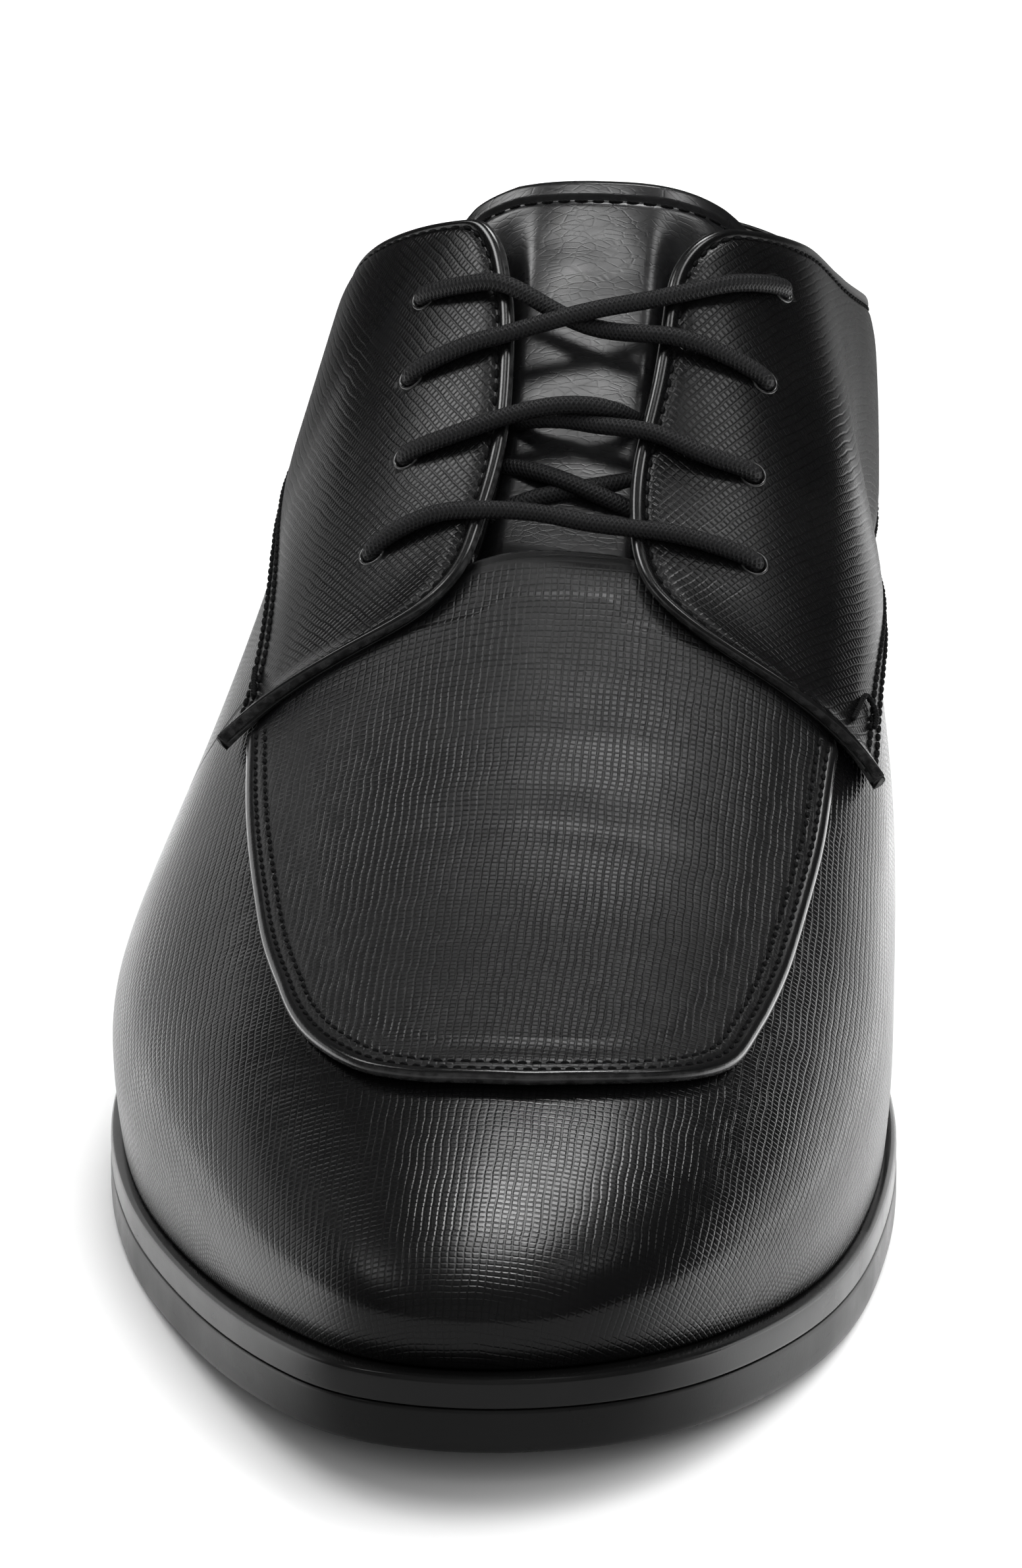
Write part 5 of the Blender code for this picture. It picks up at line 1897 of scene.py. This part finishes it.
class DERBY_OT_stitching(bpy.types.Operator):
    """Sew every row: apron, quarter edges, lower seams, tongue and the tacks at the wing tips"""

    bl_idname = "derby.stitching"
    bl_label = "Stitching"

    def execute(self, context):
        sizes = context.scene.derby_sizes
        pitch, radius = sizes.stitch_pitch, sizes.thread_radius
        thread = stock("derby_thread", thread_finish, "derby_thread", palette(context, "thread"))
        tree = stock("stitch_rows", stitch_tree)

        def sew(name, rows, step, length, thick, slot):
            values = {"Pitch": step, "Length": length, "Radius": thick, "Thread": thread}
            piece(name, grown(name, tree, rows, values), None, slot)

        apron, front = make_apron()
        rows = [apron.line(inward, lift, 2, front - 2) for inward, lift in APRON_STITCHES]
        sew("apron_stitches", rows, 1.06 * pitch, 0.72 * pitch, 1.15 * radius, "apron_leather")
        edges, seams = [], []
        for side in (OUTER, INNER):
            quarter = make_quarter(side)
            edges.append(quarter.line(*QUARTER_STITCHES, 14))
            reverse = Panelwork(quarter.inner, quarter.edge, QUARTER_LIP, QUARTER_FIELD, (), 2)
            seams += [reverse.line(inward, lift, 6) for inward, lift in SEAM_STITCHES]
        sew("quarter_stitches", edges, 1.35 * pitch, 0.9 * pitch, 1.1 * radius, "quarter_leather")
        sew("seam_stitches", seams, pitch, pitch, 1.5 * radius, "quarter_leather")
        rows = [tongue_row(sizes.tongue / MM)]
        sew("tongue_stitches", rows, 1.4 * pitch, 1.15 * pitch, radius, "tongue_leather")
        tacks = [on_quarter(points) for points in TACKS]
        sew("wing_tacks", tacks, 0.35 * pitch, 0.6 * pitch, 1.6 * radius, "quarter_leather")
        return {"FINISHED"}


def heading(turn, rise):
    """Unit vector of a bearing and a rise in degrees."""
    turn, rise = math.radians(turn), math.radians(rise)
    return (math.sin(turn) * math.cos(rise), math.cos(turn) * math.cos(rise), math.sin(rise))


def aim(obj, place, target):
    """Put an object at a place, looking at a target."""
    obj.location = place
    obj.rotation_euler = (Vector(target) - Vector(place)).to_track_quat("-Z", "Y").to_euler()


def lay_floor(paper):
    """Square of paper under the shoe."""
    corners = [(x * FLOOR_HALF, y * FLOOR_HALF, 0) for x, y in ((-1, -1), (1, -1), (1, 1), (-1, 1))]
    mesh = bpy.data.meshes.new("floor")
    mesh.from_pydata(corners, [], [(0, 1, 2, 3)])
    mesh.materials.append(paper)
    floor = linked("floor", mesh)


def tent():
    """World: dim all round with soft panels, and white behind everything."""
    world = bpy.data.worlds.new("studio")
    world.use_nodes = True
    graph = Graph(world.node_tree)
    ray = graph.add("ShaderNodeTexCoord").outputs["Generated"]
    level = TENT_LOW
    for turn, rise, near, far, bright in TENT_PANELS:
        toward = graph.vector("DOT_PRODUCT", ray, heading(turn, rise), output="Value")
        near, far = math.cos(math.radians(near)), math.cos(math.radians(far))
        level = graph.math("ADD", level, graph.span(toward, far, near, 0.0, bright))
    level = graph.math("MAXIMUM", level, graph.add("ShaderNodeLightPath").outputs["Is Camera Ray"])
    background = world.node_tree.nodes["Background"]
    background.inputs["Color"].default_value = WHITE
    graph.put(background.inputs["Strength"], level)
    return world


def hang_lights():
    """Soft boxes, cards and fills."""
    for name, place, target, size, power, spread, mirrored in LIGHTS:
        data = bpy.data.lights.new(name, "AREA")
        data.shape, data.size, data.size_y, data.energy = "RECTANGLE", size[0], size[1], power
        data.spread = math.radians(spread)
        light = linked(name, data)
        light.visible_camera, light.visible_glossy = False, mirrored
        aim(light, place, target)


def set_camera(scene):
    """Camera at the photograph's angle."""
    data = bpy.data.cameras.new("camera")
    data.sensor_width, data.lens = SENSOR, CAMERA_FOCUS * SENSOR / PHOTO_HEIGHT
    data.clip_start, data.clip_end = 0.05, 50.0
    scene.camera = linked("camera", data)
    aim(scene.camera, CAMERA_PLACE, CAMERA_TARGET)


class DERBY_OT_stage(bpy.types.Operator):
    """Lay the floor, hang the lights and set the camera at the photograph's angle"""

    bl_idname = "derby.stage"
    bl_label = "Floor, lights and camera"

    def execute(self, context):
        lay_floor(stock("derby_floor", floor_paper, "derby_floor", palette(context, "floor")))
        context.scene.world = tent()
        context.scene.view_settings.view_transform = "Standard"
        hang_lights()
        set_camera(context.scene)
        return {"FINISHED"}


class DERBY_PT_panel(bpy.types.Panel):
    """Steps of the build, in order"""

    bl_idname = "DERBY_PT_panel"
    bl_label = "Apron-toe derby"
    bl_space_type = "VIEW_3D"
    bl_region_type = "UI"
    bl_category = "Derby"

    def draw(self, context):
        for group in (context.scene.derby_sizes, context.scene.derby_colours):
            for key in group.__annotations__:
                self.layout.prop(group, key)
        for step in STEPS:
            self.layout.operator(step.bl_idname)


STEPS = (
    DERBY_OT_materials,
    DERBY_OT_vamp,
    DERBY_OT_apron,
    DERBY_OT_quarters,
    DERBY_OT_back_strip,
    DERBY_OT_tongue,
    DERBY_OT_lining,
    DERBY_OT_sole,
    DERBY_OT_lace,
    DERBY_OT_eyelets,
    DERBY_OT_stitching,
    DERBY_OT_stage,
)
CLASSES = (DerbySizes, DerbyColours, *STEPS, DERBY_PT_panel)


def register():
    """Add the classes and the scene's settings."""
    for kind in CLASSES:
        bpy.utils.register_class(kind)
    bpy.types.Scene.derby_sizes = PointerProperty(type=DerbySizes)
    bpy.types.Scene.derby_colours = PointerProperty(type=DerbyColours)


def unregister():
    """Take them away again."""
    del bpy.types.Scene.derby_colours
    del bpy.types.Scene.derby_sizes
    for kind in reversed(CLASSES):
        bpy.utils.unregister_class(kind)


def main():
    """Build the shoe step by step."""
    register()
    for step in STEPS:
        name = step.bl_idname.split(".")[1]
        getattr(bpy.ops.derby, name)()


if __name__ == "__main__":
    main()
